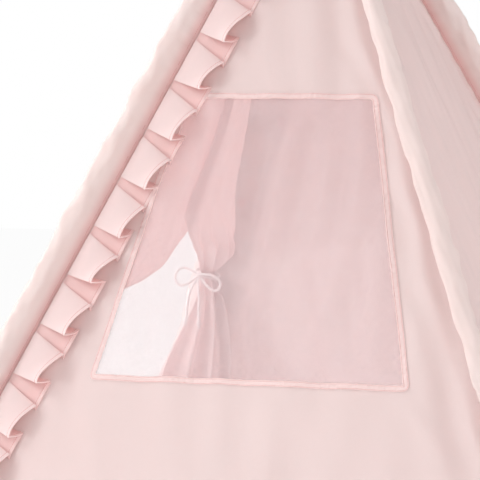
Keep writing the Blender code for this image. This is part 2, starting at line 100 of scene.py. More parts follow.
class Ripple:
    """A soft random field of plane waves, the same on each run, mostly between -1 and 1."""

    waves = 9

    def __init__(self, seed: int, length: float, spread: float = math.pi) -> None:
        """Draws the waves.

        Args:
            seed: Picks the field.
            length: Mean wavelength in metres.
            spread: How far the waves' directions turn from the first coordinate.
        """
        draw = np.random.default_rng(seed)
        turn = draw.uniform(-spread / 2, spread / 2, self.waves)
        pace = 2 * math.pi / (length * draw.uniform(0.65, 1.5, self.waves))
        self.across = pace * np.cos(turn)
        self.along = pace * np.sin(turn)
        self.phase = draw.uniform(0, 2 * math.pi, self.waves)
        self.height = math.sqrt(2.0 / self.waves)

    def at(self, across: Array, along: Array = 0.0) -> Array:
        """The field's height at one or many places."""
        across, along = np.broadcast_arrays(np.asarray(across, float), np.asarray(along, float))
        waves = np.multiply.outer(across, self.across) + np.multiply.outer(along, self.along)
        return self.height * np.sin(waves + self.phase).sum(-1)


@dataclass(frozen=True)
class TentShape:
    """The driving sizes that the cloth and the poles share."""

    half_base: float = 0.600
    apex_height: float = 1.365
    canopy_top: float = 1.215
    canopy_hem: float = 0.050
    pole_radius: float = 0.009
    pole_out: float = 0.028
    pole_twist: float = 0.017
    pole_above: float = 0.175
    cloth: float = 0.0008
    hem: float = 0.0019
    seam_clear: float = 0.0022
    hem_width: float = 0.010
    hem_step: float = 0.002
    tie_height: float = 0.644
    slack: float = 0.034

    @property
    def apex(self) -> Array:
        """The point that all fold lines pass through."""
        return np.array((0.0, 0.0, self.apex_height))

    def thickness(self, edge: Array) -> Array:
        """The cloth's thickness at distances from its hemmed edges."""
        return self.cloth + (self.hem - self.cloth) * (1 - smooth((edge - self.hem_width) / self.hem_step))

    def door_sag(self, x: Array, height: Array) -> Array:
        """How far the slack door cloth hangs in towards the inside, across a row and down to the slit."""
        half = self.half_base * (1 - height / self.apex_height)
        across = np.clip(1 - (x / half) ** 2, 0.0, 1.0)
        return self.slack * smooth((self.canopy_top - height) / 0.36) * across ** 0.8


class Corner(Enum):
    """The four corners, by the signs of their x and y."""

    front_right = (1, -1)
    back_right = (1, 1)
    back_left = (-1, 1)
    front_left = (-1, -1)

    @property
    def leg(self) -> str:
        """The body that the corner's pole and sleeve ride on."""
        return f"{self.name}_leg"


class CornerLine:
    """One corner's seam line and the axis of its pole."""

    def __init__(self, tent: TentShape, corner: Corner) -> None:
        """Works out both lines from the tent's sizes."""
        self.tent = tent
        foot = np.array((*corner.value, 0.0)) * tent.half_base
        self.seam = unit(foot - tent.apex)
        self.out = unit(np.array((*corner.value, 0.0)))
        fin = unit(self.out - self.out.dot(self.seam) * self.seam)
        pole_foot = foot + tent.pole_out * fin
        cross_run = -tent.pole_out * fin.dot(self.out) / self.seam.dot(self.out)
        crossing = tent.apex + cross_run * self.seam + tent.pole_out * fin
        crossing = crossing - tent.pole_twist * np.cross(UP, self.out)
        self.pole = unit(crossing - pole_foot)
        self.ground = pole_foot - self.pole * (pole_foot[2] / self.pole[2])
        self.pole_length = float(np.linalg.norm(crossing - self.ground)) + tent.pole_above

    def on_seam(self, run: Array) -> Array:
        """The seam's points at distances from the apex."""
        return self.tent.apex + np.multiply.outer(run, self.seam)

    def run_at(self, height: float) -> float:
        """The seam's distance from the apex to a height."""
        return (self.tent.apex_height - height) / -self.seam[2]

    def section(self, run: float) -> tuple[Array, Array, Array, Array]:
        """The sleeve's cross-section at a distance down the seam.

        Args:
            run: Distance from the apex along the seam.

        Returns:
            The seam's point, the pole axis's point, the way out and the way aside.
        """
        seam_point = self.on_seam(run)
        pole_run = (seam_point - self.ground).dot(self.seam) / self.pole.dot(self.seam)
        pole_point = self.ground + pole_run * self.pole
        outward = unit(pole_point - seam_point)
        return seam_point, pole_point, outward, np.cross(self.seam, outward)


class Side(Enum):
    """The four sides, by the way that they face."""

    right = (1, 0)
    back = (0, 1)
    left = (-1, 0)
    front = (0, -1)


class SidePlane:
    """One side's plane: distance across from its centre fold, depth down from the apex, and lift."""

    def __init__(self, tent: TentShape, side: Side) -> None:
        """Works out the plane's three ways."""
        self.tent = tent
        face = np.array((*side.value, 0.0))
        self.across = np.cross(UP, face)
        self.down = unit(face * tent.half_base - tent.apex)
        self.normal = unit(face - face.dot(self.down) * self.down)
        self.slope = tent.half_base / float(np.linalg.norm(face * tent.half_base - tent.apex))
        self.top = float(self.depth_at(tent.canopy_top))
        self.bottom = float(self.depth_at(tent.canopy_hem))

    @property
    def area(self) -> float:
        """The whole side's area, from seam to seam."""
        return (self.seam_x(self.top) + self.seam_x(self.bottom)) * (self.bottom - self.top)

    def depth_at(self, height: Array) -> Array:
        """Distance down the side from the apex to a height."""
        return (self.tent.apex_height - height) / -self.down[2]

    def seam_x(self, depth: Array) -> Array:
        """Distance from the centre fold to the seam."""
        return depth * self.slope

    def seam_at(self, height: float) -> float:
        """Distance from the centre fold to the seam at a height."""
        return self.seam_x(self.depth_at(height))

    def points(self, x: Array, depth: Array, lift: Array) -> Array:
        """Points in space, one for each place on the side."""
        x, depth, lift = np.broadcast_arrays(x, depth, lift)
        flat = np.multiply.outer(x, self.across) + np.multiply.outer(depth, self.down)
        return self.tent.apex + flat + np.multiply.outer(lift, self.normal)

    def row(self, points: Array, facing: int = 1) -> tuple[Array, Array]:
        """A row of stitches on the side: its points and the way that each faces, 1 for outwards."""
        return points, np.broadcast_to(facing * self.normal, points.shape)


def free_normals(grid: Array, ring: bool) -> Array:
    """A grid's unit normals, from its neighbours' places."""
    rows = np.gradient(grid, axis=0)
    if ring:
        columns = np.roll(grid, -1, axis=1) - np.roll(grid, 1, axis=1)
    else:
        columns = np.gradient(grid, axis=1)
    normals = np.cross(rows, columns)
    size = np.linalg.norm(normals, axis=2, keepdims=True)
    return normals / np.maximum(size, 1e-12)


def new_mesh(name: str, points: Array, faces: list, finish: Material) -> Piece:
    """A new object of points and faces, smooth but for its sharp edges.

    Args:
        name: The piece's name.
        points: One row for each vertex.
        faces: Tuples of vertex numbers, turned outwards.
        finish: The material.

    Returns:
        The object, at the origin.
    """
    mesh = bpy.data.meshes.new(name)
    mesh.from_pydata([tuple(point) for point in points], [], faces)
    mesh.materials.append(finish)
    made = bpy.data.objects.new(name, mesh)
    bpy.context.scene.collection.objects.link(made)
    mesh.shade_smooth()
    mesh.set_sharp_from_angle(angle=SHARP_ANGLE)
    return made


def cloth_piece(
    name: str,
    grid: Array,
    flat: Array,
    thickness: Array,
    finish: Material,
    keep: Array | None = None,
    ring: bool = False,
    painted_shade: Array | None = None,
) -> Piece:
    """A closed shell of cloth round a grid of points.

    Args:
        name: The piece's name.
        grid: Rows by columns by three, the cloth's middle layer.
        flat: Rows by columns by two, each point's place on the flat cloth in metres.
        thickness: One number, or one for each point.
        finish: The material.
        keep: Which quads between the points are cloth; all of them if left out.
        ring: True if the last column meets the first.
        painted_shade: How deep a shade is painted on each point, from 0 to 1: a deeper pink where the cloth
            lies double and where shade falls.

    Returns:
        The object, with its flat places as a UV map.
    """
    rows, columns = grid.shape[:2]
    half = np.broadcast_to(np.asarray(thickness, float) / 2, (rows, columns))[..., None]
    normals = free_normals(grid, ring)
    points = np.concatenate([(grid + half * normals).reshape(-1, 3), (grid - half * normals).reshape(-1, 3)])
    count = rows * columns
    i, j = np.meshgrid(np.arange(rows - 1), np.arange(columns if ring else columns - 1), indexing="ij")
    if keep is not None:
        i, j = i[keep], j[keep]
    i, j = i.reshape(-1), j.reshape(-1)
    after = (j + 1) % columns
    here, below = i * columns, (i + 1) * columns
    corners = np.stack([here + j, below + j, below + after, here + after], 1)
    edges = np.concatenate([corners[:, [k, (k + 1) % 4]] for k in range(4)])
    keys = edges[:, 0] * count + edges[:, 1]
    rim = edges[~np.isin(keys, edges[:, 1] * count + edges[:, 0])]
    walls = np.stack([rim[:, 1], rim[:, 0], rim[:, 0] + count, rim[:, 1] + count], 1)
    faces = np.concatenate([corners, corners[:, ::-1] + count, walls])
    used, faces = np.unique(faces, return_inverse=True)
    faces = faces.reshape(-1, 4)
    made = new_mesh(name, points[used], faces.tolist(), finish)
    place = np.concatenate([flat.reshape(-1, 2)] * 2)[used]
    uv = place[faces].copy()
    if ring:
        wide = np.ptp(uv[..., 0], axis=1) > np.ptp(flat[..., 0]) / 2
        low = uv[..., 0] < np.ptp(flat[..., 0]) / 2 + flat[..., 0].min()
        uv[..., 0] += np.where(wide[:, None] & low, np.ptp(flat[..., 0]), 0.0)
    layer = made.data.uv_layers.new(name=CLOTH_MAP)
    layer.data.foreach_set("uv", uv.reshape(-1).astype(np.float32))
    # Stores each point's share of painted shade, for the finish to blend in.
    if painted_shade is not None:
        depth = made.data.attributes.new(PAINTED_SHADE, "FLOAT", "POINT")
        shares = np.concatenate([np.broadcast_to(painted_shade, (rows, columns)).reshape(-1)] * 2)[used]
        depth.data.foreach_set("value", shares.astype(np.float32))
    return made


def attach(made: Piece, slot: str, *nodes: str, body: str = "") -> Piece:
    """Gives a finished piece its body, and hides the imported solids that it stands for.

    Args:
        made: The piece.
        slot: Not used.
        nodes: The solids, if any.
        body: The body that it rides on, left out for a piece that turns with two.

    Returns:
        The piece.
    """
    if body:
        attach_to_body(made, body)
    if nodes:
        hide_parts(*nodes)
    return made


def flat_places(across: Array, along: Array) -> Array:
    """Pairs of flat places from two grids of lengths."""
    return np.stack(np.broadcast_arrays(across, along), -1)


def walked(points: Array) -> Array:
    """The length walked along a line of points up to each of them."""
    steps = np.linalg.norm(np.diff(points, axis=0), axis=1)
    return np.concatenate([[0.0], np.cumsum(steps)])


def puckered(near: Array, along: Array, height: float, reach: float, field: Ripple) -> Array:
    """Small puckers beside a seam, which die out with the distance to it."""
    return height * np.exp(-near / reach) * np.clip(near / 0.006, 0, 1) * field.at(along, near)


def lengths(grid: Array, axis: int) -> Array:
    """The length walked over a grid up to each point, down the columns (0) or along the rows (1)."""
    steps = np.linalg.norm(np.diff(grid, axis=axis), axis=2)
    return np.insert(np.cumsum(steps, axis), 0, 0.0, axis)


def sampled(points: Array, run: Array, at: Array) -> Array:
    """The points of a line at lengths walked along it."""
    return np.stack([np.interp(at, run, column) for column in points.T], -1)


def spaced(points: Array, step: float) -> Array:
    """A line's points again, one step apart."""
    run = walked(points)
    count = max(2, round(run[-1] / step) + 1)
    return sampled(points, run, np.linspace(0, run[-1], count))


def rounded(points: Array, parts: int = 14) -> Array:
    """A smooth curve through all the points."""
    ends = np.concatenate([[2 * points[0] - points[1]], points, [2 * points[-1] - points[-2]]])
    share = np.linspace(0, 1, parts, endpoint=False)[:, None]
    fine = []
    for before, start, end, after in zip(ends, ends[1:], ends[2:], ends[3:]):
        bend = 2 * before - 5 * start + 4 * end - after
        twist = 3 * start - before - 3 * end + after
        fine.append(0.5 * (2 * start + (end - before) * share + bend * share ** 2 + twist * share ** 3))
    return np.concatenate([*fine, points[-1:]])


def circled(turns: Array, side: Array, up: Array) -> Array:
    """Points on a circle of radius one, from turns measured from one way to another."""
    return np.multiply.outer(np.cos(turns), side) + np.multiply.outer(np.sin(turns), up)


def level_edge(edge: bmesh.types.BMEdge) -> bool:
    """True for an edge that runs level."""
    return abs(edge.verts[0].co.z - edge.verts[1].co.z) < NEAR / 10


def at_level(edge: bmesh.types.BMEdge, level: float) -> bool:
    """True for an edge with both ends at a height."""
    return all(abs(vertex.co.z - level) < NEAR for vertex in edge.verts)


class Graph:
    """A material, or the world, under construction."""

    def __init__(self, name: str, world: bool = False) -> None:
        """Starts an empty node tree with an output."""
        self.owner = (bpy.data.worlds if world else bpy.data.materials).new(name)
        self.owner.use_nodes = True
        self.tree = self.owner.node_tree
        self.tree.nodes.clear()
        self.output = self.tree.nodes.new("ShaderNodeOutputWorld" if world else "ShaderNodeOutputMaterial")

    def node(self, kind: str, sockets: dict | None = None, **settings: object) -> bpy.types.Node:
        """Adds a node.

        Args:
            kind: The node's type.
            sockets: Values or outputs for its inputs, by name or number.
            settings: Properties of the node.

        Returns:
            The node.
        """
        made = self.tree.nodes.new(kind)
        for key, value in settings.items():
            setattr(made, key, value)
        for key, value in (sockets or {}).items():
            if isinstance(value, Socket):
                self.tree.links.new(value, made.inputs[key])
            else:
                made.inputs[key].default_value = value
        return made

    def math(self, operation: str, first: object, second: object = 0.0) -> Socket:
        """The result of a sum on two numbers or outputs."""
        return self.node("ShaderNodeMath", {0: first, 1: second}, operation=operation).outputs[0]

    def mean(self, first: object, weight: float, second: object) -> Socket:
        """The mean of two values, with this weight on the first."""
        heavy = self.math("MULTIPLY", first, weight)
        return self.math("ADD", heavy, self.math("MULTIPLY", second, 1 - weight))

    def blend(self, share: object, first: object, second: object) -> Socket:
        """A colour between two colours."""
        return self.node("ShaderNodeMix", {0: share, 6: first, 7: second}, data_type="RGBA").outputs[2]

    def between(self, value: object, low: float, high: float, out: Pair = (0.0, 1.0)) -> Socket:
        """Maps a value from one range to another."""
        return self.node("ShaderNodeMapRange", {0: value, 1: low, 2: high, 3: out[0], 4: out[1]}).outputs[0]

    def noise(self, vector: object, scale: float, detail: float = 3.0, rough: float = 0.5) -> Socket:
        """Noise from 0 to 1."""
        sockets = {"Vector": vector, "Scale": scale, "Detail": detail, "Roughness": rough}
        return self.node("ShaderNodeTexNoise", sockets).outputs[0]

    def place(self) -> Socket:
        """Where a point is on its object."""
        return self.node("ShaderNodeTexCoord").outputs["Object"]

    def place_upright(self) -> Socket:
        """Where a point was on its piece before that was stood up."""
        return self.node("ShaderNodeAttribute", attribute_name=LOCAL_PLACE).outputs["Vector"]

    def place_on_cloth(self) -> Socket:
        """Where a point is on the flat cloth."""
        return self.node("ShaderNodeUVMap", uv_map=CLOTH_MAP).outputs[0]

    def stretched(self, vector: object, scale: Triple) -> Socket:
        """A place with each of its parts scaled."""
        return self.node("ShaderNodeMapping", {0: vector, 3: scale}).outputs[0]

    def part(self, vector: object, index: int) -> Socket:
        """One part of a place."""
        return self.node("ShaderNodeSeparateXYZ", {0: vector}).outputs[index]

    def waves(self, vector: object, pace: float) -> list[Socket]:
        """Waves across a flat place and along it."""
        return [self.math("SINE", self.math("MULTIPLY", self.part(vector, k), pace)) for k in (0, 1)]

    def bump(self, strength: float, distance: float, height: Socket) -> Socket:
        """The normal of a fine relief."""
        sockets = {"Strength": strength, "Distance": distance, "Height": height}
        return self.node("ShaderNodeBump", sockets).outputs[0]

    def surface(self, tone: Socket, rough: Socket, more: dict) -> Socket:
        """A solid surface of a tone and a roughness, with more sockets by name."""
        sockets = {"Base Color": tone, "Roughness": rough, **more}
        return self.node("ShaderNodeBsdfPrincipled", sockets).outputs[0]

    def mix(self, share: object, first: Socket, second: Socket) -> Socket:
        """A shader between two shaders."""
        return self.node("ShaderNodeMixShader", {0: share, 1: first, 2: second}).outputs[0]

    def finish(self, shader: Socket) -> bpy.types.ID:
        """Links the last shader and returns the material or the world."""
        self.tree.links.new(shader, self.output.inputs["Surface"])
        return self.owner


def colour(red: float, green: float, blue: float) -> tuple[float, float, float, float]:
    """A colour as seen, from 0 to 1, as Blender's linear values."""
    return (*[channel / 12.92 if channel < 0.04045 else ((channel + 0.055) / 1.055) ** 2.4
              for channel in (red, green, blue)], 1.0)


@dataclass(frozen=True)
class WovenCotton:
    """Plain-woven cotton: two thread ways, slubs, a soft sheen, light through it, and a painted shade of
    deeper pink.
    """

    name: str
    pale: Triple
    deep: Triple
    through: Triple
    thread_pitch: float = 0.00085
    relief: float = 0.16
    light_through: float = 0.40
    sheen: float = 0.20
    painted_shade: Triple = (0.940, 0.785, 0.775)
    slub_fine: float = 900.0
    slub_long: float = 130.0

    def material(self) -> Material:
        """Builds the cloth's nodes."""
        graph = Graph(self.name)
        uv = graph.place_on_cloth()
        place = graph.place()
        weave = graph.math("MULTIPLY", *graph.waves(uv, 2 * math.pi / self.thread_pitch))
        drawn = graph.stretched(uv, (self.slub_long, self.slub_fine, 1.0))
        crossed = graph.stretched(uv, (self.slub_fine, self.slub_long, 1.0))
        slubs = graph.math("ADD", graph.noise(drawn, 1.0, 2.0), graph.noise(crossed, 1.0, 2.0))
        height = graph.math("ADD", graph.math("MULTIPLY", weave, 0.35), slubs)
        bump = graph.bump(self.relief, 0.0004, height)
        tone = graph.mean(graph.noise(place, 5.0, 4.0, 0.6), 0.7, graph.between(slubs, 0.6, 1.4))
        mixed = graph.blend(graph.between(tone, 0.30, 0.70), colour(*self.deep), colour(*self.pale))
        # Painted shade: the colour is blended towards a deeper pink by the share stored on each point.
        painted_shade_share = graph.node("ShaderNodeAttribute", attribute_name=PAINTED_SHADE).outputs["Fac"]
        mixed = graph.blend(painted_shade_share, mixed, colour(*self.painted_shade))
        rough = graph.between(graph.noise(place, 60.0), 0.3, 0.7, (0.78, 0.92))
        shader = graph.surface(mixed, rough, {
            "Normal": bump, "Sheen Weight": self.sheen, "Sheen Roughness": 0.5, "Specular IOR Level": 0.3
        })
        glow = graph.node("ShaderNodeBsdfTranslucent", {"Color": colour(*self.through), "Normal": bump})
        return graph.finish(graph.mix(self.light_through, shader, glow.outputs[0]))


@dataclass(frozen=True)
class FineNet:
    """Fine knitted net: threads with open cells that what lies behind shows through."""

    name: str = "fine_net"
    thread: Triple = (0.945, 0.900, 0.906)
    other: Triple = (0.955, 0.900, 0.912)
    cell: float = 0.0013
    least: float = 0.15
    most: float = 0.46
    uneven: float = 0.03
    light_through: float = 0.35

    def material(self) -> Material:
        """Builds the net's nodes."""
        graph = Graph(self.name)
        place = graph.place()
        waves = graph.waves(graph.place_on_cloth(), math.pi / self.cell)
        hollow = graph.math("MULTIPLY", *(graph.math("ABSOLUTE", wave) for wave in waves))
        cover = graph.between(hollow, 0.15, 0.75, (self.most, self.least))
        uneven = graph.between(graph.noise(place, 45.0), 0.3, 0.7, (-self.uneven, self.uneven))
        cover = graph.math("ADD", cover, uneven)
        tone = graph.blend(graph.noise(place, 9.0), colour(*self.thread), colour(*self.other))
        shader = graph.surface(tone, graph.between(hollow, 0.0, 1.0, (0.65, 0.85)), {"Sheen Weight": 0.2})
        glow = graph.node("ShaderNodeBsdfTranslucent", {"Color": colour(*self.thread)})
        thread = graph.mix(self.light_through, shader, glow.outputs[0])
        clear = graph.node("ShaderNodeBsdfTransparent")
        return graph.finish(graph.mix(cover, clear.outputs[0], thread))


@dataclass(frozen=True)
class SpunThread:
    """Sewing thread or the fibres of a cotton cord, with fine ply lines."""

    name: str
    pale: Triple
    deep: Triple
    grain: float = 900.0
    relief: float = 0.25

    def material(self) -> Material:
        """Builds the thread's nodes."""
        graph = Graph(self.name)
        place = graph.place()
        fibre = graph.noise(place, self.grain, 4.0, 0.6)
        tone = graph.mean(fibre, 0.6, graph.noise(place, 60.0, 2.0))
        mixed = graph.blend(graph.between(tone, 0.35, 0.65), colour(*self.deep), colour(*self.pale))
        bump = graph.bump(self.relief, 0.0002, fibre)
        rough = graph.between(fibre, 0.3, 0.7, (0.7, 0.9))
        return graph.finish(graph.surface(mixed, rough, {"Normal": bump, "Sheen Weight": 0.3}))


@dataclass(frozen=True)
class TurnedPine:
    """Pale pine dowel: grain along the pole, with growth lines and pores."""

    name: str = "turned_pine"
    pale: Triple = (0.87, 0.74, 0.56)
    deep: Triple = (0.72, 0.55, 0.36)
    line_pace: float = 1500.0
    wander: float = 0.006

    def material(self) -> Material:
        """Builds the wood's nodes."""
        graph = Graph(self.name)
        drawn = graph.stretched(graph.place_upright(), (1.0, 1.0, 0.05))
        wander = graph.math("MULTIPLY", graph.noise(drawn, 60.0, 3.0), self.wander)
        lines = graph.math("MULTIPLY", graph.math("ADD", graph.part(drawn, 0), wander), self.line_pace)
        pores = graph.noise(drawn, 2200.0, 2.0)
        tone = graph.mean(graph.between(graph.math("SINE", lines), -1.0, 1.0), 0.55, pores)
        mixed = graph.blend(graph.between(tone, 0.2, 0.85), colour(*self.pale), colour(*self.deep))
        bump = graph.bump(0.15, 0.0002, pores)
        rough = graph.between(pores, 0.3, 0.7, (0.42, 0.62))
        return graph.finish(graph.surface(mixed, rough, {"Normal": bump}))


@dataclass(frozen=True)
class BrushedFerrule:
    """Drawn aluminium tube: fine lines round it and a few dull marks."""

    name: str = "brushed_ferrule"
    bright: Triple = (0.86, 0.86, 0.87)
    dull: Triple = (0.72, 0.73, 0.75)

    def material(self) -> Material:
        """Builds the metal's nodes."""
        graph = Graph(self.name)
        place = graph.place_upright()
        lines = graph.noise(graph.stretched(place, (0.06, 0.06, 1.0)), 3200.0, 2.0)
        marks = graph.noise(place, 140.0, 4.0, 0.65)
        mixed = graph.blend(graph.between(marks, 0.45, 0.7), colour(*self.bright), colour(*self.dull))
        rough = graph.between(graph.math("ADD", lines, marks), 0.7, 1.3, (0.24, 0.42))
        bump = graph.bump(0.08, 0.0001, lines)
        return graph.finish(graph.surface(mixed, rough, {"Metallic": 1.0, "Normal": bump}))


@dataclass(frozen=True)
class MouldedRubber:
    """Grey moulded rubber: fine grain, dusty and paler where it is worn."""

    name: str = "moulded_rubber"
    fresh: Triple = (0.20, 0.20, 0.21)
    worn: Triple = (0.33, 0.32, 0.32)

    def material(self) -> Material:
        """Builds the rubber's nodes."""
        graph = Graph(self.name)
        place = graph.place_upright()
        dust = graph.noise(place, 90.0, 5.0, 0.7)
        high = graph.math("ADD", graph.part(place, 2), graph.math("MULTIPLY", dust, 0.02))
        wear = graph.math("MULTIPLY", graph.between(high, 0.008, 0.024, (1.0, 0.0)), 0.7)
        mixed = graph.blend(wear, colour(*self.fresh), colour(*self.worn))
        bump = graph.bump(0.2, 0.0002, graph.noise(place, 1400.0, 3.0))
        rough = graph.between(dust, 0.3, 0.7, (0.62, 0.88))
        return graph.finish(graph.surface(mixed, rough, {"Normal": bump}))


class Finishes:
    """Every finish on the tent, made once."""

    def __init__(self) -> None:
        """Builds the materials."""
        self.canvas = WovenCotton(
            "pale_canvas", (0.945, 0.914, 0.906), (0.934, 0.898, 0.889), (0.960, 0.850, 0.843)
        ).material()
        # Painted light: the sleeves are the sides' cotton painted paler, for the brighter light that falls on
        # them.
        self.sleeve = WovenCotton(
            "sleeve_canvas", (0.990, 0.955, 0.944), (0.984, 0.943, 0.930), (0.985, 0.895, 0.882)
        ).material()
        # Painted light: the frills are the sides' cotton painted paler, for the brighter light on the front
        # corners; their deeper pink is painted shade.
        self.frill = WovenCotton(
            "frill_cotton", (0.990, 0.952, 0.947), (0.985, 0.941, 0.935), (0.985, 0.880, 0.872),
            painted_shade=(0.965, 0.815, 0.803)
        ).material()
        # Painted light: the door cloths are the sides' cotton painted a little paler, for the light that
        # falls on them through the door.
        self.door = WovenCotton(
            "door_canvas", (0.972, 0.920, 0.913), (0.964, 0.904, 0.897), (0.965, 0.848, 0.841),
            light_through=0.45
        ).material()
        self.tape = WovenCotton(
            "binding_tape", (0.965, 0.885, 0.877), (0.950, 0.850, 0.840), (0.975, 0.850, 0.840),
            thread_pitch=0.0011, relief=0.3, light_through=0.2
        ).material()
        self.net = FineNet().material()
        self.thread = SpunThread("sewing_thread", (0.905, 0.700, 0.688), (0.870, 0.635, 0.622)).material()
        self.cord = SpunThread("cotton_cord", (0.985, 0.965, 0.968), (0.950, 0.915, 0.918), 500.0).material()
        self.pine = TurnedPine().material()
        self.ferrule = BrushedFerrule().material()
        self.rubber = MouldedRubber().material()


class Bench:
    """Small steps with Blender's own modelling operators."""

    @staticmethod
    def clear() -> None:
        """Deselects everything, so that an operator acts on the new piece alone."""
        if bpy.context.object and bpy.context.object.mode != "OBJECT":
            bpy.ops.object.mode_set(mode="OBJECT")
        bpy.ops.object.select_all(action="DESELECT")

    @staticmethod
    def cylinder(name: str, radius: float, length: float, sides: int, open_ends: bool = False) -> Piece:
        """Adds a cylinder that stands on the origin, along +Z.

        Args:
            name: The piece's name.
            radius: Its radius.
            length: Its length.
            sides: Faces round it.
            open_ends: True for a tube with no end faces.

        Returns:
            The new object, active, alone in the selection and in edit mode.
        """
        Bench.clear()
        bpy.ops.mesh.primitive_cylinder_add(
            vertices=sides, radius=radius, depth=length, location=(0, 0, length / 2),
            end_fill_type="NOTHING" if open_ends else "NGON",
        )
        made = bpy.context.object
        made.name = name
        bpy.ops.object.transform_apply(location=True, rotation=True, scale=True)
        bpy.ops.object.mode_set(mode="EDIT")
        return made

    @staticmethod
    def select(made: Piece, kind: str, chosen: Callable[[object], bool]) -> None:
        """In edit mode, selects the faces or the edges that are wanted.

        Args:
            made: The piece.
            kind: FACE or EDGE.
            chosen: Says of each whether it is wanted.
        """
        bpy.ops.mesh.select_all(action="DESELECT")
        bpy.ops.mesh.select_mode(type=kind)
        work = bmesh.from_edit_mesh(made.data)
        for part in work.faces if kind == "FACE" else work.edges:
            part.select = bool(chosen(part))
        if kind == "FACE":
            work.select_flush_mode()
        bmesh.update_edit_mesh(made.data)

    @staticmethod
    def cut(levels: Iterable[float]) -> None:
        """In edit mode, cuts new rings of edges into the whole piece at these heights."""
        for level in levels:
            bpy.ops.mesh.select_all(action="SELECT")
            bpy.ops.mesh.bisect(plane_co=(0, 0, level), plane_no=(0, 0, 1))

    @staticmethod
    def narrow(level: float, share: float) -> None:
        """In edit mode, draws what is selected round a height towards the axis."""
        bpy.ops.transform.resize(value=(share, share, 1), center_override=(0, 0, level))

    @staticmethod
    def apply(made: Piece, kind: str, **settings: object) -> None:
        """Adds a modifier with these settings and applies it."""
        modifier = made.modifiers.new(kind.lower(), kind)
        for key, value in settings.items():
            setattr(modifier, key, value)
        bpy.ops.object.modifier_apply(modifier=modifier.name)

    @staticmethod
    def stand(made: Piece, start: Array, way: Array, finish: Material) -> None:
        """Moves the upright piece's mesh onto an axis, shades it and gives it its finish.

        Args:
            made: The piece, in object mode. Each vertex's upright place is stored first, for the finish.
            start: Where the piece's foot comes to stand.
            way: The axis's direction.
            finish: The material.
        """
        mesh = made.data
        places = np.empty(len(mesh.vertices) * 3, np.float32)
        mesh.vertices.foreach_get("co", places)
        mesh.attributes.new(LOCAL_PLACE, "FLOAT_VECTOR", "POINT").data.foreach_set("vector", places)
        turn = Vector((0, 0, 1)).rotation_difference(Vector(way)).to_matrix().to_4x4()
        mesh.transform(Matrix.Translation(Vector(start)) @ turn)
        mesh.shade_smooth()
        mesh.set_sharp_from_angle(angle=SHARP_ANGLE)
        mesh.materials.clear()
        mesh.materials.append(finish)


@dataclass
class Thread:
    """Rows of sewn stitches, each row one piece made of copies of one modelled stitch."""

    finish: Material
    length: float = 0.0030
    gap: float = 0.0011
    radius: float = 0.00034
    sides: int = 6
    reach: float = 0.0006

    def __post_init__(self) -> None:
        """Models the one stitch that all rows copy: a short thread with drawn-in ends."""
        made = Bench.cylinder("stitch_pattern", self.radius, self.length, self.sides)
        Bench.select(made, "FACE", lambda face: abs(face.normal.z) > 0.9)
        bpy.ops.mesh.inset(thickness=self.radius * 0.45, depth=self.radius * 0.6)
        bpy.ops.object.mode_set(mode="OBJECT")
        self.points = np.array([tuple(vertex.co) for vertex in made.data.vertices])
        self.points[:, 2] -= self.length / 2
        self.faces = [tuple(face.vertices) for face in made.data.polygons]
        bpy.data.objects.remove(made)

    def sew(self, name: str, lines: list[tuple[Array, Array]]) -> Piece:
        """Sews stitches along lines.

        Args:
            name: The piece's name.
            lines: Pairs of points and of the cloth's normals there.

        Returns:
            One object that holds every stitch.
        """
        points = []
        faces = []
        for line, normals in lines:
            run = walked(line)
            count = max(1, int(run[-1] / (self.length + self.gap)))
            centres = (np.arange(count) + 0.5) * run[-1] / count
            middle, ahead, behind = (sampled(line, run, centres + k * self.reach) for k in (0, 1, -1))
            for point, front, rear, over in zip(middle, ahead, behind, sampled(normals, run, centres)):
                way = front - rear
                size = np.linalg.norm(way)
                if size < 1e-7:
                    continue
                way = way / size
                side = np.cross(over, way)
                side = side / max(np.linalg.norm(side), 1e-9)
                turned = np.stack([side, np.cross(way, side), way])
                base = len(points) * len(self.points)
                points.append(self.points @ turned + point)
                faces += [tuple(base + corner for corner in face) for face in self.faces]
        return new_mesh(name, np.concatenate(points), faces, self.finish)


@dataclass
class Sewn:
    """What every sewn piece is made from."""

    tent: TentShape
    finishes: Finishes
    thread: Thread


@dataclass
class FlatSide(Sewn):
    """What the three sides with no door share."""

    def declare(self, made: Piece, nodes: tuple, sleeves: tuple, hole: float = 0.0) -> None:
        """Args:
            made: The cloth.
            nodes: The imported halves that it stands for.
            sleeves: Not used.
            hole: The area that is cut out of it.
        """
        attach(made, "pale_cloth", *nodes)
        plane = self.plane
        2 * plane.seam_x(plane.bottom)
        plane.area - hole
        self.cross(made)

    def seam_folds(self, place: Array, wander: Array) -> Array:
        """The long folds beside a seam, each given by its height, distance, wander and width."""
        return sum(high * ridge(place, away + drift * wander, wide) for high, away, drift, wide in self.folds)

    def sew_hems(self, name: str) -> Piece:
        """Sews the rows of stitches along the top and the bottom hem."""
        rows = []
        for depth in (self.plane.top + HEM_ROW, self.plane.bottom - HEM_ROW):
            reach = self.plane.seam_x(depth) - HEM_ROW_END
            x = np.linspace(-reach, reach, 260)
            lift = self.lift(x, np.full_like(x, depth)) + self.tent.hem / 2
            rows.append(self.plane.row(self.plane.points(x, depth, lift)))
        made = attach(self.thread.sew(name, rows), "binding")
        self.cross(made)
        return made


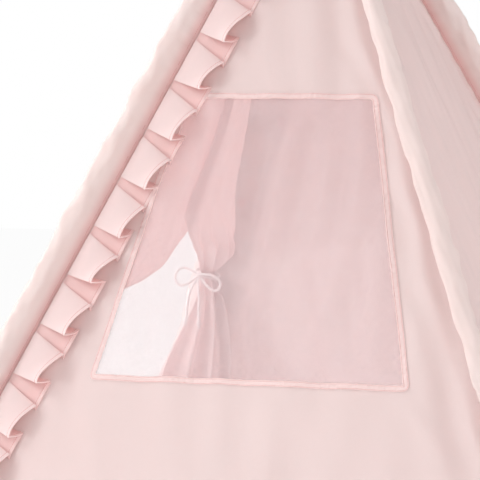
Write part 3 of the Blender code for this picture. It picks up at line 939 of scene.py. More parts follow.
@dataclass
class WindowSide(FlatSide):
    """The +X side: one sheet with the window cut out, its net, and the tape that binds the edge."""

    sill: float = 0.5505
    head: float = 0.950
    sill_widths: Pair = (0.226, 0.252)
    head_widths: Pair = (0.142, 0.150)
    net_past: float = 0.0020
    tape_width: float = 0.0088
    tape_flat: float = 0.0100
    tape_thick: float = 0.0008
    tape_lift: float = 0.0011
    edge_roll: float = 0.0008
    row_step: float = 0.0080
    columns_beside: int = 34
    columns_middle: int = 60
    corner_round: float = 0.007
    folds: tuple = ((0.0038, 0.026, 0.005, 0.015), (-0.0016, 0.052, 0.009, 0.014))
    soft_wave: float = 0.0017
    low_wave: float = 0.0050
    billow: float = 0.0035

    def __post_init__(self) -> None:
        """Sets the plane and the wrinkles' fields."""
        self.plane = SidePlane(self.tent, Side.right)
        self.deep_head = self.plane.depth_at(self.head)
        self.deep_sill = self.plane.depth_at(self.sill)
        self.broad = Ripple(3, 0.085, spread=0.5)
        self.hang = Ripple(8, 0.17, spread=0.35)
        self.pucker = Ripple(5, 0.016, spread=0.9)
        self.wander = Ripple(9, 0.16)
        self.seam_pucker = Ripple(12, 0.020, spread=0.2)

    def window_x(self, depth: Array, rear: int) -> Array:
        """Distance from the centre fold to the window's front (0) or rear (1) side at a depth."""
        share = (depth - self.deep_head) / (self.deep_sill - self.deep_head)
        return self.head_widths[rear] + share * (self.sill_widths[rear] - self.head_widths[rear])

    def column_x(self, depth: Array, rear: int) -> Array:
        """Where the columns beside the window run, which keep their share of the width past its ends."""
        inside = np.clip(depth, self.deep_head, self.deep_sill)
        return self.window_x(inside, rear) / self.plane.seam_x(inside) * self.plane.seam_x(depth)

    def lift(self, x: Array, depth: Array) -> Array:
        """How far the cloth stands off the flat side."""
        seam = self.plane.seam_x(depth)
        rear = seam - x
        near = np.minimum(seam + x, rear)
        held = 1 - np.exp(-((near / 0.016) ** 2))
        fold = self.seam_folds(rear, self.wander.at(depth))
        second = 0.0022 * ridge(rear, 0.075 + 0.012 * self.wander.at(depth + 0.3), 0.016)
        second = second * smooth((depth - self.deep_head - 0.10) / 0.15)
        soft = self.soft_wave * self.broad.at(x, depth)
        low = self.low_wave * smooth((depth - self.deep_sill) / 0.5) * self.hang.at(x, depth)
        billow = self.billow * (1 - (x / seam) ** 2)
        pulled = puckered(near, depth, 0.0009, 0.022, self.seam_pucker)
        gap = np.hypot(
            np.maximum(np.maximum(x - self.column_x(depth, 1), -x - self.column_x(depth, 0)), 0),
            np.maximum(np.maximum(self.deep_head - depth, depth - self.deep_sill), 0),
        )
        bound = 0.0003 * np.exp(-gap / 0.010) * self.pucker.at(x + depth, x - depth)
        return held * (fold + second + soft + low + billow) + pulled + bound

    def build_panel(self) -> Piece:
        """Builds the cloth, from seam to seam, with rolled hems and the window cut out."""
        top, bottom = self.plane.top, self.plane.bottom
        parts = []
        for start, end in ((top, self.deep_head), (self.deep_head, self.deep_sill), (self.deep_sill, bottom)):
            parts.append(np.linspace(start, end, round((end - start) / self.row_step), endpoint=False))
        depths = np.concatenate([*parts, [bottom]])
        seam = self.plane.seam_x(depths) - self.tent.seam_clear
        beside = np.linspace(0, 1, self.columns_beside + 1)
        middle = np.linspace(0, 1, self.columns_middle + 1)[1:-1]
        front, rear = (self.column_x(depths, k)[:, None] for k in (0, 1))
        front_side = front + (seam[:, None] - front) * beside
        rear_side = rear + (seam[:, None] - rear) * beside
        x = np.concatenate([-front_side[:, ::-1], -front + (front + rear) * middle, rear_side], 1)
        depth = np.broadcast_to(depths[:, None], x.shape)
        keep = np.ones((len(depths) - 1, x.shape[1] - 1), bool)
        window_rows = slice(len(parts[0]), len(parts[0]) + len(parts[1]))
        keep[window_rows, self.columns_beside:self.columns_beside + self.columns_middle] = False
        grid = self.plane.points(x, depth, self.lift(x, depth))
        thick = self.tent.thickness(np.minimum(depth - top, bottom - depth))
        made = cloth_piece("window_side", grid, flat_places(x, depth), thick, self.finishes.canvas, keep)
        hole = sum(self.sill_widths + self.head_widths) / 2 * (self.deep_sill - self.deep_head)
        self.declare(made, ("window_side_rear", "window_side_front"),
                     ("front_right_sleeve", "back_right_sleeve"), float(hole))
        return made

    def cross(self, made: Piece) -> None:
        """Bakes a piece's placement into its mesh."""
        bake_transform(made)

    def build_net(self) -> Piece:
        """Builds the net, a little slack, with its edges under the tape."""
        past = self.net_past
        depths = np.linspace(self.deep_head - past, self.deep_sill + past, 60)
        share = np.linspace(0, 1, 70)
        front, rear = (self.window_x(depths, k)[:, None] for k in (0, 1))
        x = -(front + past) * (1 - share) + (rear + past) * share
        depth = np.broadcast_to(depths[:, None], x.shape)
        inside = np.minimum(np.minimum(x + front, rear - x),
                            np.minimum(depth - self.deep_head, self.deep_sill - depth)).clip(0, 1)
        slack = smooth(inside / 0.05)
        soft = Ripple(21, 0.075, spread=0.45).at(x, depth)
        edge = np.clip(x, -front, rear)
        lift = self.lift(edge, np.clip(depth, self.deep_head, self.deep_sill)) * (1 - slack)
        lift = lift + slack * (0.0025 + 0.0022 * soft)
        grid = self.plane.points(x, depth, lift)
        made = cloth_piece("window_net", grid, flat_places(x, depth), 0.0003, self.finishes.net)
        attach(made, "window_mesh", "window_mesh_rear", "window_mesh_front")
        self.cross(made)
        return made

    def tape_line(self) -> Array:
        """The tape's middle line round the window as (x, depth) pairs, corners rounded, closed."""
        corners = np.array([
            (-self.head_widths[0], self.deep_head), (self.head_widths[1], self.deep_head),
            (self.sill_widths[1], self.deep_sill), (-self.sill_widths[0], self.deep_sill),
        ])
        line = []
        for before, at, after in zip(np.roll(corners, 1, axis=0), corners, np.roll(corners, -1, axis=0)):
            start = at + self.corner_round * unit(before - at)
            end = at + self.corner_round * unit(after - at)
            for share in np.linspace(0, 1, 9):
                line.append((1 - share) ** 2 * start + 2 * share * (1 - share) * at + share ** 2 * end)
        return spaced(np.array([*line, line[0]]), 0.0016)[:-1]

    def tape_points(self, offset: Array, line: Array, high: Array) -> Array:
        """Points beside the tape's middle line.

        Args:
            offset: Distances outwards from the line, one for each row.
            line: The middle line's (x, depth) pairs.
            high: Heights over the cloth, rows by columns.

        Returns:
            Rows by columns by three.
        """
        way = np.roll(line, -1, axis=0) - np.roll(line, 1, axis=0)
        way = way / np.linalg.norm(way, axis=1, keepdims=True)
        out = np.stack([way[:, 1], -way[:, 0]], 1)
        place = line[None] + offset[:, None, None] * out[None]
        x, depth = place[..., 0], place[..., 1]
        return self.plane.points(x, depth, self.lift(x, depth) + high)

    def build_tape(self) -> list[Piece]:
        """Builds the folded tape round the window, gathered a little, and its two rows of stitches."""
        line = self.tape_line()
        run = walked(np.concatenate([line, line[:1]]))[:-1]
        half = self.tape_width / 2
        sewn = half - 0.0014
        rows = (0.25, 0.5, 0.67, 0.86, 0.97, 1.0)
        offset = half * np.array((*(-row for row in rows[::-1]), 0.0, *rows))
        round_edge = 1 - np.abs(offset / half) ** 8
        sunk = np.exp(-(((np.abs(offset) - sewn) / 0.0006) ** 2))
        beat = 2 * math.pi * (run / 0.0082 + 0.25 * Ripple(31, 0.05).at(run))
        slow = np.clip(0.55 + 0.5 * Ripple(33, 0.09).at(run), 0.1, 1.0)
        crumple = 0.00026 * slow * np.sin(beat)
        high = self.tape_lift + 0.0003 * round_edge[:, None] - 0.00045 * sunk[:, None]
        high = high + self.edge_roll * ridge(offset, -half + 0.0005, 0.0009)[:, None]
        high = high + crumple * (0.3 + 0.7 * round_edge[:, None])
        grid = self.tape_points(offset, line, high)
        flat = flat_places(run[None], offset[:, None])
        made = cloth_piece("window_tape", grid, flat, self.tape_thick, self.finishes.tape, ring=True)
        attach(made, "binding", "window_binding_rear", "window_binding_front")
        high = self.tape_lift + 0.0004 + crumple * 0.7
        rows = [self.plane.row(self.tape_points(np.array((side,)), line, high)[0]) for side in (-sewn, sewn)]
        stitches = attach(self.thread.sew("window_tape_stitches", rows), "binding")
        for piece in (made, stitches):
            self.cross(piece)
        return [made, stitches]

    def build(self) -> list[Piece]:
        """Builds the whole side."""
        return [self.build_panel(), self.build_net(), *self.build_tape(),
                self.sew_hems("window_side_hem_stitches")]


@dataclass
class PlainSide(FlatSide):
    """A side with no opening: one sheet from seam to seam."""

    name: str
    side: Side
    halves: tuple[str, str]
    nodes: tuple[str, str]
    sleeves: tuple[str, str]
    seed: int
    rows: int = 150
    columns: int = 130
    folds: tuple = ((0.0030, 0.024, 0.006, 0.013), (-0.0016, 0.048, 0.010, 0.014))
    soft_wave: float = 0.0019
    fine_wave: float = 0.0005
    low_wave: float = 0.0050
    billow: float = 0.0040

    def __post_init__(self) -> None:
        """Sets the plane and the wrinkles' fields."""
        self.plane = SidePlane(self.tent, self.side)
        self.broad = Ripple(self.seed, 0.11, spread=0.5)
        self.fine = Ripple(self.seed + 1, 0.035, spread=0.35)
        self.hang = Ripple(self.seed + 2, 0.19, spread=0.35)
        self.seam_pucker = Ripple(self.seed + 3, 0.024, spread=0.3)
        self.wander = Ripple(self.seed + 4, 0.18)

    def lift(self, x: Array, depth: Array) -> Array:
        """How far the cloth stands off the flat side."""
        seam = self.plane.seam_x(depth)
        near = seam - np.abs(x)
        held = 1 - np.exp(-((near / 0.018) ** 2))
        fold = self.seam_folds(near, self.wander.at(depth + 0.4 * np.sign(x)))
        soft = self.soft_wave * self.broad.at(x, depth) + self.fine_wave * self.fine.at(x, depth)
        low = self.low_wave * smooth((depth - 0.75) / 0.6) * self.hang.at(x, depth)
        billow = self.billow * (1 - (x / seam) ** 2)
        pulled = puckered(near, depth, 0.0011, 0.026, self.seam_pucker)
        return held * (fold + soft + low + billow) + pulled

    def cross(self, made: Piece) -> None:
        """Bakes a piece's placement into its mesh."""
        middle = self.plane.points(np.zeros(1), np.array((0.7,)), np.zeros(1))[0]
        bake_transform(made)

    def build(self) -> list[Piece]:
        """Builds the sheet and its hems' stitches."""
        top, bottom = self.plane.top, self.plane.bottom
        depths = np.linspace(top, bottom, self.rows)
        x = (self.plane.seam_x(depths) - self.tent.seam_clear)[:, None] * np.linspace(-1, 1, self.columns)
        depth = np.broadcast_to(depths[:, None], x.shape)
        grid = self.plane.points(x, depth, self.lift(x, depth))
        thick = self.tent.thickness(np.minimum(depth - top, bottom - depth))
        made = cloth_piece(self.name, grid, flat_places(x, depth), thick, self.finishes.canvas)
        self.declare(made, self.nodes, self.sleeves)
        return [made, self.sew_hems(f"{self.name}_hem_stitches")]


@dataclass
class Sleeve(Sewn):
    """The sewn tunnel on one corner that its pole runs in: two flanks that meet in the seam."""

    corner: Corner
    seed: int
    round: float = 0.0135
    least_swell: float = -0.0021
    seam_round: float = 0.0017
    past_hem: float = 0.006
    sewn: float = 0.0030
    row_step: float = 0.0065
    arc_points: int = 22
    flank_points: int = 9
    slow_wave: float = 0.0014
    short_wave: float = 0.0009
    flank_pucker: float = 0.0007
    flank_crease: float = 0.0005
    nips: int = 28
    nip_gaps: Pair = (0.035, 0.085)
    nip_depth: float = 0.0024
    nip_length: float = 0.0045
    nip_turn: float = 0.8

    def __post_init__(self) -> None:
        """Sets the corner's line and where along it the rings of the tunnel lie."""
        self.line = CornerLine(self.tent, self.corner)
        self.top = self.line.run_at(self.tent.canopy_top)
        self.bottom = self.line.run_at(self.tent.canopy_hem + self.past_hem)
        self.runs = np.linspace(self.top, self.bottom, round((self.bottom - self.top) / self.row_step))

    def outline(self, reach: float) -> tuple[Array, Array, Array]:
        """The cross-section round the pole and back to the seam.

        Args:
            reach: Distance from the seam line to the pole's axis.

        Returns:
            Distances out from the seam, distances aside, and how far along each point is from the seam (0)
            to the outermost line (1).
        """
        lean = math.asin((self.round - self.seam_round) / reach)
        turns = np.linspace(-(math.pi / 2 + lean), math.pi / 2 + lean, self.arc_points)
        arc = np.stack([reach + self.round * np.cos(turns), self.round * np.sin(turns)], 1)
        turns = np.linspace(math.pi / 2 + lean, 1.5 * math.pi - lean, 5)
        tip = np.stack([self.seam_round * np.cos(turns), self.seam_round * np.sin(turns)], 1)
        shares = np.linspace(0, 1, self.flank_points + 2)[1:-1][:, None]
        down = arc[-1] + (tip[0] - arc[-1]) * shares
        back = tip[-1] + (arc[0] - tip[-1]) * shares
        ring = np.concatenate([arc, down, tip, back])
        far = np.clip(ring[:, 0] / (reach + self.round), 0, 1)
        return ring[:, 0], ring[:, 1], far

    def build_cloth(self) -> tuple[Piece, Array]:
        """Builds the tunnel with its soft waves, nips and puckers.

        Returns:
            The cloth, and its grid of points.
        """
        slow = Ripple(self.seed, 0.085)
        wave = Ripple(self.seed + 1, 0.038)
        draw = np.random.default_rng(self.seed)
        nip_runs = np.cumsum(draw.uniform(*self.nip_gaps, self.nips)) + self.top
        nip_turns = draw.uniform(-1.3, 1.3, self.nips)
        pucker = Ripple(self.seed + 2, 0.017, spread=0.8)
        crease = Ripple(self.seed + 3, 0.030, spread=1.6)
        rings = []
        flats = []
        for run in self.runs:
            seam_point, pole_point, outward, aside = self.line.section(run)
            reach = float(np.linalg.norm(pole_point - seam_point))
            out, side, far = self.outline(reach)
            turn = np.arctan2(side, out - reach)
            outer = smooth((far - 0.35) / 0.4)
            nip = ridge(run, nip_runs[:, None], self.nip_length)
            nip = (nip * ridge(turn[None], nip_turns[:, None], self.nip_turn)).sum(0)
            swell = self.slow_wave * slow.at(run, 0.03 * turn) + self.short_wave * wave.at(run, 0.03 * turn)
            swell = np.maximum(outer * (swell - self.nip_depth * nip), self.least_swell)
            flank = (1 - outer) * smooth(far / 0.08)
            small = self.flank_pucker * pucker.at(run, far * 0.06) + self.flank_crease * crease.at(run, side)
            swell = swell + flank * small
            away = np.stack([np.cos(turn), np.sin(turn)], 1)
            flat_side = np.sign(side)[:, None] * np.array((0.0, 1.0))
            push = np.where(far[:, None] > 0.62, away, flat_side)
            out = out + swell * push[:, 0]
            side = side + swell * push[:, 1]
            rings.append(seam_point + np.multiply.outer(out, outward) + np.multiply.outer(side, aside))
            around = walked(np.stack([out, side], 1))
            flats.append(flat_places(around, np.full_like(around, run)))
        grid = np.array(rings)
        # Painted shade: the flanks beside the seam get a deeper pink, fading out towards the outer face.
        made = cloth_piece(f"{self.corner.name}_sleeve_cloth", grid, np.array(flats), self.tent.cloth,
                           self.finishes.sleeve, ring=True, painted_shade=0.8 * (1 - smooth((far - 0.02) / 0.36)))
        return made, grid

    def stitch_row(self, grid: Array, flank: int) -> tuple[Array, Array]:
        """The row of stitches on one flank (-1 or 1), beside the seam, and the cloth's normals there."""
        points = []
        ups = []
        for run, ring in zip(self.runs, grid):
            seam_point, _, outward, aside = self.line.section(run)
            local = ring - seam_point
            out = local @ outward
            side = (local @ aside) * flank
            pick = np.where(side > 0, np.abs(out - self.sewn), 1.0).argmin()
            way = aside * flank
            off = side[pick] + (self.sewn - out[pick]) * 0.3 + self.tent.cloth / 2
            points.append(seam_point + self.sewn * outward + off * way)
            ups.append(way)
        return np.array(points), np.array(ups)

    def build(self) -> list[Piece]:
        """Builds the tunnel and the rows of stitches beside the seam."""
        made, grid = self.build_cloth()
        attach(made, "pale_cloth", f"{self.corner.name}_sleeve", body=self.corner.leg)
        rows = [self.stitch_row(grid, flank) for flank in (-1, 1)]
        stitches = self.thread.sew(f"{self.corner.name}_sleeve_stitches", rows)
        return [made, attach(stitches, "binding", body=self.corner.leg)]


@dataclass
class Frill(Sewn):
    """A strip of box pleats, pressed flat where it is sewn into a corner seam and open at its hem."""

    name: str
    side: Side
    corner: Corner
    body: str
    seed: int
    pleats: int = 16
    top_gap: float = 0.013
    hem_gap: float = 0.038
    start: float = 0.0040
    width: float = 0.0640
    phase: float = 0.30
    cloth: float = 0.0007
    hem: float = 0.0018
    hem_width: float = 0.0060
    flat_rise: float = 0.0036
    base: float = 0.0015
    layer: float = 0.0008
    rows: int = 21

    def strip(self) -> list[Array]:
        """The strip's line at the seam and at the hem.

        Returns:
            Places along the corner in pleats and heights over the side, at the seam and then at the hem, and
            how deep a shade is painted on each place, deepest in the recesses.
        """
        draw = np.random.default_rng(self.seed)
        thirds = (0, 0.33, 0.66, 1)
        bends = (0, 0.38, 1)
        recess = np.linspace(0, 1, 9)
        curve = np.linspace(0, 1, 19)[1:]
        back = np.linspace(0, 1, 5)[1:]
        down = back[:-1]
        raised = np.polyval(np.polyfit(thirds, (0.0056, 0.0190, 0.0262, 0.0245), 3), curve)
        strip = []
        for pleat in range(-1, self.pleats):
            tall = draw.uniform(0.86, 1.12)
            tip = draw.uniform(-0.04, 0.04)
            low = draw.uniform(-0.05, 0.05)
            along = np.polyval(np.polyfit(thirds, (0.31 + tip, 0.54, 0.79, 1.0 + low), 3), curve)
            # The last number of each leg is how deep a shade is painted there: deepest in the recess and
            # where the cloth folds back under, slight on the raised face.
            legs = (
                (np.interp(recess, bends, (-0.08, 0.03, 0.21)), np.full(9, 0.0),
                 np.interp(recess, bends, (-0.20 + low, 0.08, 0.38 + tip)),
                 0.0016 * np.sin(math.pi * recess),
                 np.interp(recess, (0, 0.4, 0.8, 1), (1.0, 0.6, 0.8, 1.0))),
                (0.21 - 0.08 * back, self.layer * (0.6 + 0.8 * back),
                 0.38 + tip - 0.07 * back, 0.0008 + 0.0048 * back, 1 - 0.7 * back),
                (0.13 + 0.84 * curve, np.full(18, 2 * self.layer), along, tall * raised, 0.12 * (1 - curve)),
                (0.97 - 0.05 * down, self.layer * (1.6 - 1.2 * down),
                 1.0 + low - 0.20 * down, tall * 0.0245 * (1 - down) ** 1.3, 0.4 + 0.6 * down),
            )
            move = pleat + self.phase
            strip += [np.stack([seam + move, seam_high, hem + move, hem_high, painted_shade])
                      for seam, seam_high, hem, hem_high, painted_shade in legs]
        return list(np.concatenate(strip, 1))

    def build(self) -> list[Piece]:
        """Builds the pleated strip with its rolled hem, and the hem's row of stitches."""
        line = CornerLine(self.tent, self.corner)
        plane = SidePlane(self.tent, self.side)
        top = line.run_at(self.tent.canopy_top) + self.top_gap
        bottom = line.run_at(self.tent.canopy_hem) - self.hem_gap
        pitch = (bottom - top) / self.pleats
        square = unit(np.cross(line.seam, plane.normal))
        if square.dot(line.out) > 0:
            square = -square
        strip = self.strip()
        inside = np.flatnonzero((strip[0] >= 0.0) & (strip[0] <= self.pleats))
        seam_s, seam_h, hem_s, hem_h, painted_shade = (part[inside[0]:inside[-1] + 1] for part in strip)
        sewn_row = 1 - self.hem_width * 0.86 / self.width
        v = np.append(np.linspace(0, 1, self.rows), (sewn_row, 1 - self.hem_width / self.width))
        v = np.sort(v)[:, None]
        s = seam_s + (hem_s - seam_s) * v ** 0.9
        high = seam_h + (hem_h - seam_h) * v ** 1.45
        wobble = Ripple(self.seed + 7, 0.06).at(s * pitch, v * 0.05)
        flat = self.base + self.flat_rise * np.minimum(1.0, v / 0.3)
        steep = high / (self.width * np.maximum(v, 0.05))
        reach = self.width * v * np.sqrt(np.clip(1 - steep ** 2, 0.3, 1))
        away = self.start + reach + 0.0006 * wobble * v
        grid = line.on_seam(top + s * pitch) + np.multiply.outer(away, square)
        grid = grid + np.multiply.outer(flat + high + 0.0005 * wobble * v, plane.normal)
        length = walked(grid[-1])
        places = flat_places(length, v * self.width)
        edge = (1 - v) * self.width
        thick = self.cloth + (self.hem - self.cloth) * (1 - smooth((edge - self.hem_width) / 0.0008 + 0.5))
        # Painted shade, taken down by almost half on the rolled hem so that the hem reads lighter.
        made = cloth_piece(f"{self.name}_cloth", grid, places, thick, self.finishes.frill,
                           painted_shade=painted_shade * (1 - 0.45 * smooth(1.5 - edge / self.hem_width)))
        attach(made, "frill_cloth", self.name, body=self.body)
        row = int(np.abs(v[:, 0] - sewn_row).argmin())
        normals = free_normals(grid, False)[row]
        lines = [(grid[row] + sign * (self.hem / 2) * normals, normals * sign) for sign in (-1, 1)]
        stitches = self.thread.sew(f"{self.name}_stitches", lines)
        return [made, attach(stitches, "binding", body=self.body)]


@dataclass(frozen=True)
class DoorShape:
    """What differs between the two door cloths: the free edge above the tie, and the fold beside the seam."""

    name: str
    past_middle: float
    over: float
    sweep: tuple[tuple[float, float], ...]
    fold_share: float


RIGHT_DOOR = DoorShape(
    "right", 0.0516, 0.0020,
    ((-0.0516, 0.738), (-0.035, 0.716), (-0.010, 0.695), (0.026, 0.677), (0.075, 0.664), (0.138, 0.654),
     (0.205, 0.648), (0.2669, 0.644)), 0.20,
)
LEFT_DOOR = DoorShape(
    "left", -0.0050, 0.0,
    ((0.005, 0.772), (0.0516, 0.738), (0.0918, 0.7203), (0.1353, 0.7028), (0.2087, 0.6748), (0.2378, 0.6597),
     (0.2669, 0.644)), 1.0,
)


@dataclass
class DoorCurtain(Sewn):
    """One half of the door side: sewn to its neighbour above the slit, gathered by its tie, hanging below."""

    shape: DoorShape
    seed: int
    slit_top: float = 0.772
    gather_width: float = 0.050
    free_hem: float = 0.205
    free_hem_reach: float = 0.200
    flare_rate: float = 1.4
    flare_power: float = 0.8
    hang_rate: float = 2.5
    folds: int = 6
    fold_tie: float = 0.010
    fold_hem: float = 0.017
    gather_inward: float = 0.014
    flat_share: float = 0.10
    loose_share: float = 0.20
    lift_share: float = 0.30
    inner_fold: tuple = (
        (1.215, 0.0), (0.94, 0.003), (0.85, 0.010), (0.81, 0.015), (0.77, 0.026), (0.72, 0.037),
        (0.693, 0.032), (0.668, 0.016), (0.644, 0.002), (0.60, 0.034), (0.534, 0.066), (0.434, 0.102),
        (0.30, 0.130), (0.05, 0.150),
    )
    squashed: float = 0.12
    rows: tuple[int, int, int] = (56, 44, 90)
    columns: int = 168
    flat_width: float = 0.52

    def __post_init__(self) -> None:
        """Sets the plane, the way across it to the curtain's own seam, the edge lines and the fields."""
        self.plane = SidePlane(self.tent, Side.front)
        self.sign = 1.0 if self.shape.name == "right" else -1.0
        self.slit = self.shape.sweep[0][1]
        self.sweep = rounded(np.array(self.shape.sweep))
        self.fold_line = rounded(np.array(self.inner_fold), 6)[::-1]
        self.fine = Ripple(self.seed, 0.09, spread=0.6)
        self.seam_pucker = Ripple(self.seed + 1, 0.022, spread=0.3)
        self.soft = Ripple(self.seed + 2, 0.075, spread=0.5)
        self.share = np.linspace(0, 1, self.columns)

    def free_edge(self, height: float) -> Pair:
        """Where a row that meets the seam at that height has its free end.

        Args:
            height: The row's height at the seam.

        Returns:
            The free end's height and its place across.
        """
        if height >= self.slit:
            return height, -self.shape.past_middle
        tie = self.tent.tie_height
        if height >= tie:
            run = walked(self.sweep)
            x, edge_height = sampled(self.sweep, run, run[-1] * (self.slit - height) / (self.slit - tie))
            return edge_height, x
        share = (tie - height) / (tie - self.tent.canopy_hem)
        drop = tie - share * (tie - self.free_hem)
        flare = float(smooth(np.array(share * self.flare_rate))) ** self.flare_power
        reach = self.gather_width + (self.free_hem_reach - self.gather_width) * flare
        return drop, self.plane.seam_at(drop) - reach

    def row(self, height: float) -> tuple[Array, Array]:
        """One row of the cloth, with its folds.

        Args:
            height: The row's height at the seam.

        Returns:
            The row's points, and how deep a shade is painted on each, where it lies double and where it is
            drawn up by the tie.
        """
        share = self.share
        tie = self.tent.tie_height
        edge_height, free_x = self.free_edge(height)
        seam_x = self.plane.seam_at(height)
        start = self.slit_top + 0.03
        gathered = float(smooth(np.array((start - height) / (start - tie))))
        hanging = float(smooth(np.array((tie - height) / (tie - self.tent.canopy_hem) * self.hang_rate)))
        depth = gathered * (self.fold_tie + (self.fold_hem - self.fold_tie) * hanging)
        x, lift, way_x, way_lift = self.row_line(height, seam_x - self.tent.seam_clear, free_x, gathered)
        loose = smooth((share - self.flat_share) / self.loose_share)
        turn = 2 * math.pi * self.folds * (share - self.flat_share)
        wave = np.sin(turn + 0.35 * np.sin(3.1 * height / 0.3 + share * 5))
        small = np.sin(2.3 * turn + 4 * height + self.seed) * (0.20 + 0.16 * hanging)
        near = np.abs(seam_x - x)
        calm = 1 - 0.7 * (1 - hanging) * smooth((share - 0.75) / 0.25)
        off = loose * depth * (wave + 0.55 * small) * calm
        off = off + 0.0016 * (1 - gathered) * self.soft.at(x, height) * smooth(share / 0.15)
        off = off + puckered(near, height, 0.0010, 0.024, self.seam_pucker)
        off = off + 0.0022 * gathered * loose * self.fine.at(share * 0.3, height)
        lift = lift + self.shape.over * smooth(share / self.lift_share) + off * way_lift
        x = x + off * way_x + 0.004 * hanging * loose * np.sin(1.0 * turn + 1.2)
        row_height = height + (edge_height - height) * share
        reach_over = 0.030 if self.shape.name == "right" else RIGHT_DOOR.past_middle
        # Painted shade: the lap over the other cloth and the band drawn up by the tie get a deeper pink.
        lap = smooth((reach_over - x) / 0.003) * smooth(np.array((height - self.slit_top) / 0.006))
        drawn_up = ridge(height, tie, 0.040) * loose
        return (self.plane.points(self.sign * x, self.plane.depth_at(row_height), lift),
                np.maximum(lap, drawn_up))

    def row_line(self, height: float, start_x: float, free_x: float, gathered: float) -> tuple:
        """One row's middle line, before its folds: slack between seam and free edge, with a fold by the seam.

        Args:
            height: The row's height at the seam.
            start_x: Where the row starts, beside the seam.
            free_x: Where it ends.
            gathered: How far the tie has drawn the cloth together, from 0 to 1.

        Returns:
            Evenly spaced places across and lifts, and the two parts of the outward way at each.
        """
        fine = np.linspace(0, 1, 240)
        x = start_x + (free_x - start_x) * fine
        inner = float(np.interp(height, self.fold_line[:, 0], self.fold_line[:, 1])) * self.shape.fold_share
        rise = smooth(fine / (0.15 + 0.17 * gathered))
        fall = 1 - 0.85 * smooth((fine - 0.36) / 0.64)
        lift = -inner * rise * fall - gathered * self.gather_inward * smooth((fine - 0.1) / 0.2)
        lift = lift - self.tent.door_sag(x, height) * (1 - gathered ** 2)
        run = walked(np.stack([x, lift], 1))
        x, lift = sampled(np.stack([x, lift], 1), run, np.linspace(0, run[-1], self.columns)).T
        way_x, way_lift = np.gradient(lift), -np.gradient(x)
        size = np.hypot(way_x, way_lift)
        return x, lift, way_x / size, way_lift / size

    def build(self) -> list[Piece]:
        """Builds the curtain with its rolled edges and their stitches."""
        which = self.shape.name
        plane = self.plane
        heights = np.concatenate([
            np.linspace(self.tent.canopy_top, self.slit, self.rows[0], endpoint=False),
            np.linspace(self.slit, self.tent.tie_height, self.rows[1], endpoint=False),
            np.linspace(self.tent.tie_height, self.tent.canopy_hem, self.rows[2]),
        ])
        grid, doubled_shade = (np.array(part) for part in zip(*(self.row(height) for height in heights)))
        flat = flat_places(self.share * self.flat_width, heights[:, None])
        across = lengths(grid, 1)
        along = lengths(grid, 0)
        edge = np.minimum(np.minimum(across[:, -1:] - across, along), along[-1:] - along)
        made = cloth_piece(f"door_curtain_{which}", grid, flat, self.tent.thickness(edge), self.finishes.door,
                           painted_shade=0.55 * doubled_shade)
        body = f"{which}_door"
        attach(made, "pale_cloth", f"door_cloth_{which}", body=body)
        past = self.shape.past_middle
        wide = plane.seam_x(plane.bottom)
        tall = plane.bottom - plane.top
        area = ((plane.seam_x(plane.top) + wide) / 2 + past) * tall
        picks = np.abs(across[:, -1:] - across - HEM_ROW).argmin(1)
        ends = np.arange(len(grid)), picks
        normals = free_normals(grid, False)[ends]
        rows = [(grid[ends] + sign * (self.tent.hem / 2) * normals, sign * normals) for sign in (-1, 1)]
        stitches = attach(self.thread.sew(f"door_curtain_{which}_stitches", rows), "binding", body=body)
        for piece in (made, stitches):
            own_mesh(piece)
        return [made, stitches]


@dataclass
class BoxStitch:
    """The crossed box of stitches that holds the two door cloths together at the slit's top."""

    tent: TentShape
    thread: Thread
    corners: tuple = ((-0.002, 0.7890), (-0.046, 0.7840), (-0.046, 0.7970), (-0.002, 0.8020))
    lines: tuple = ((0, 1), (1, 2), (2, 3), (3, 0), (0, 2), (1, 3))
    outer_lift: float = 0.0046
    inner_lift: float = -0.0014

    def build(self) -> list[Piece]:
        """Sews the box and its diagonals on both faces of the lap."""
        plane = SidePlane(self.tent, Side.front)
        corners = np.array(self.corners)
        rows = []
        for lift, way in ((self.outer_lift, 1), (self.inner_lift, -1)):
            for a, b in self.lines:
                x, z = (corners[a] + (corners[b] - corners[a]) * np.linspace(0, 1, 12)[:, None]).T
                points = plane.points(x, plane.depth_at(z), lift - self.tent.door_sag(x, z))
                rows.append(plane.row(points, way))
        return [attach(self.thread.sew("door_box_stitch", rows), "binding", body="right_door")]


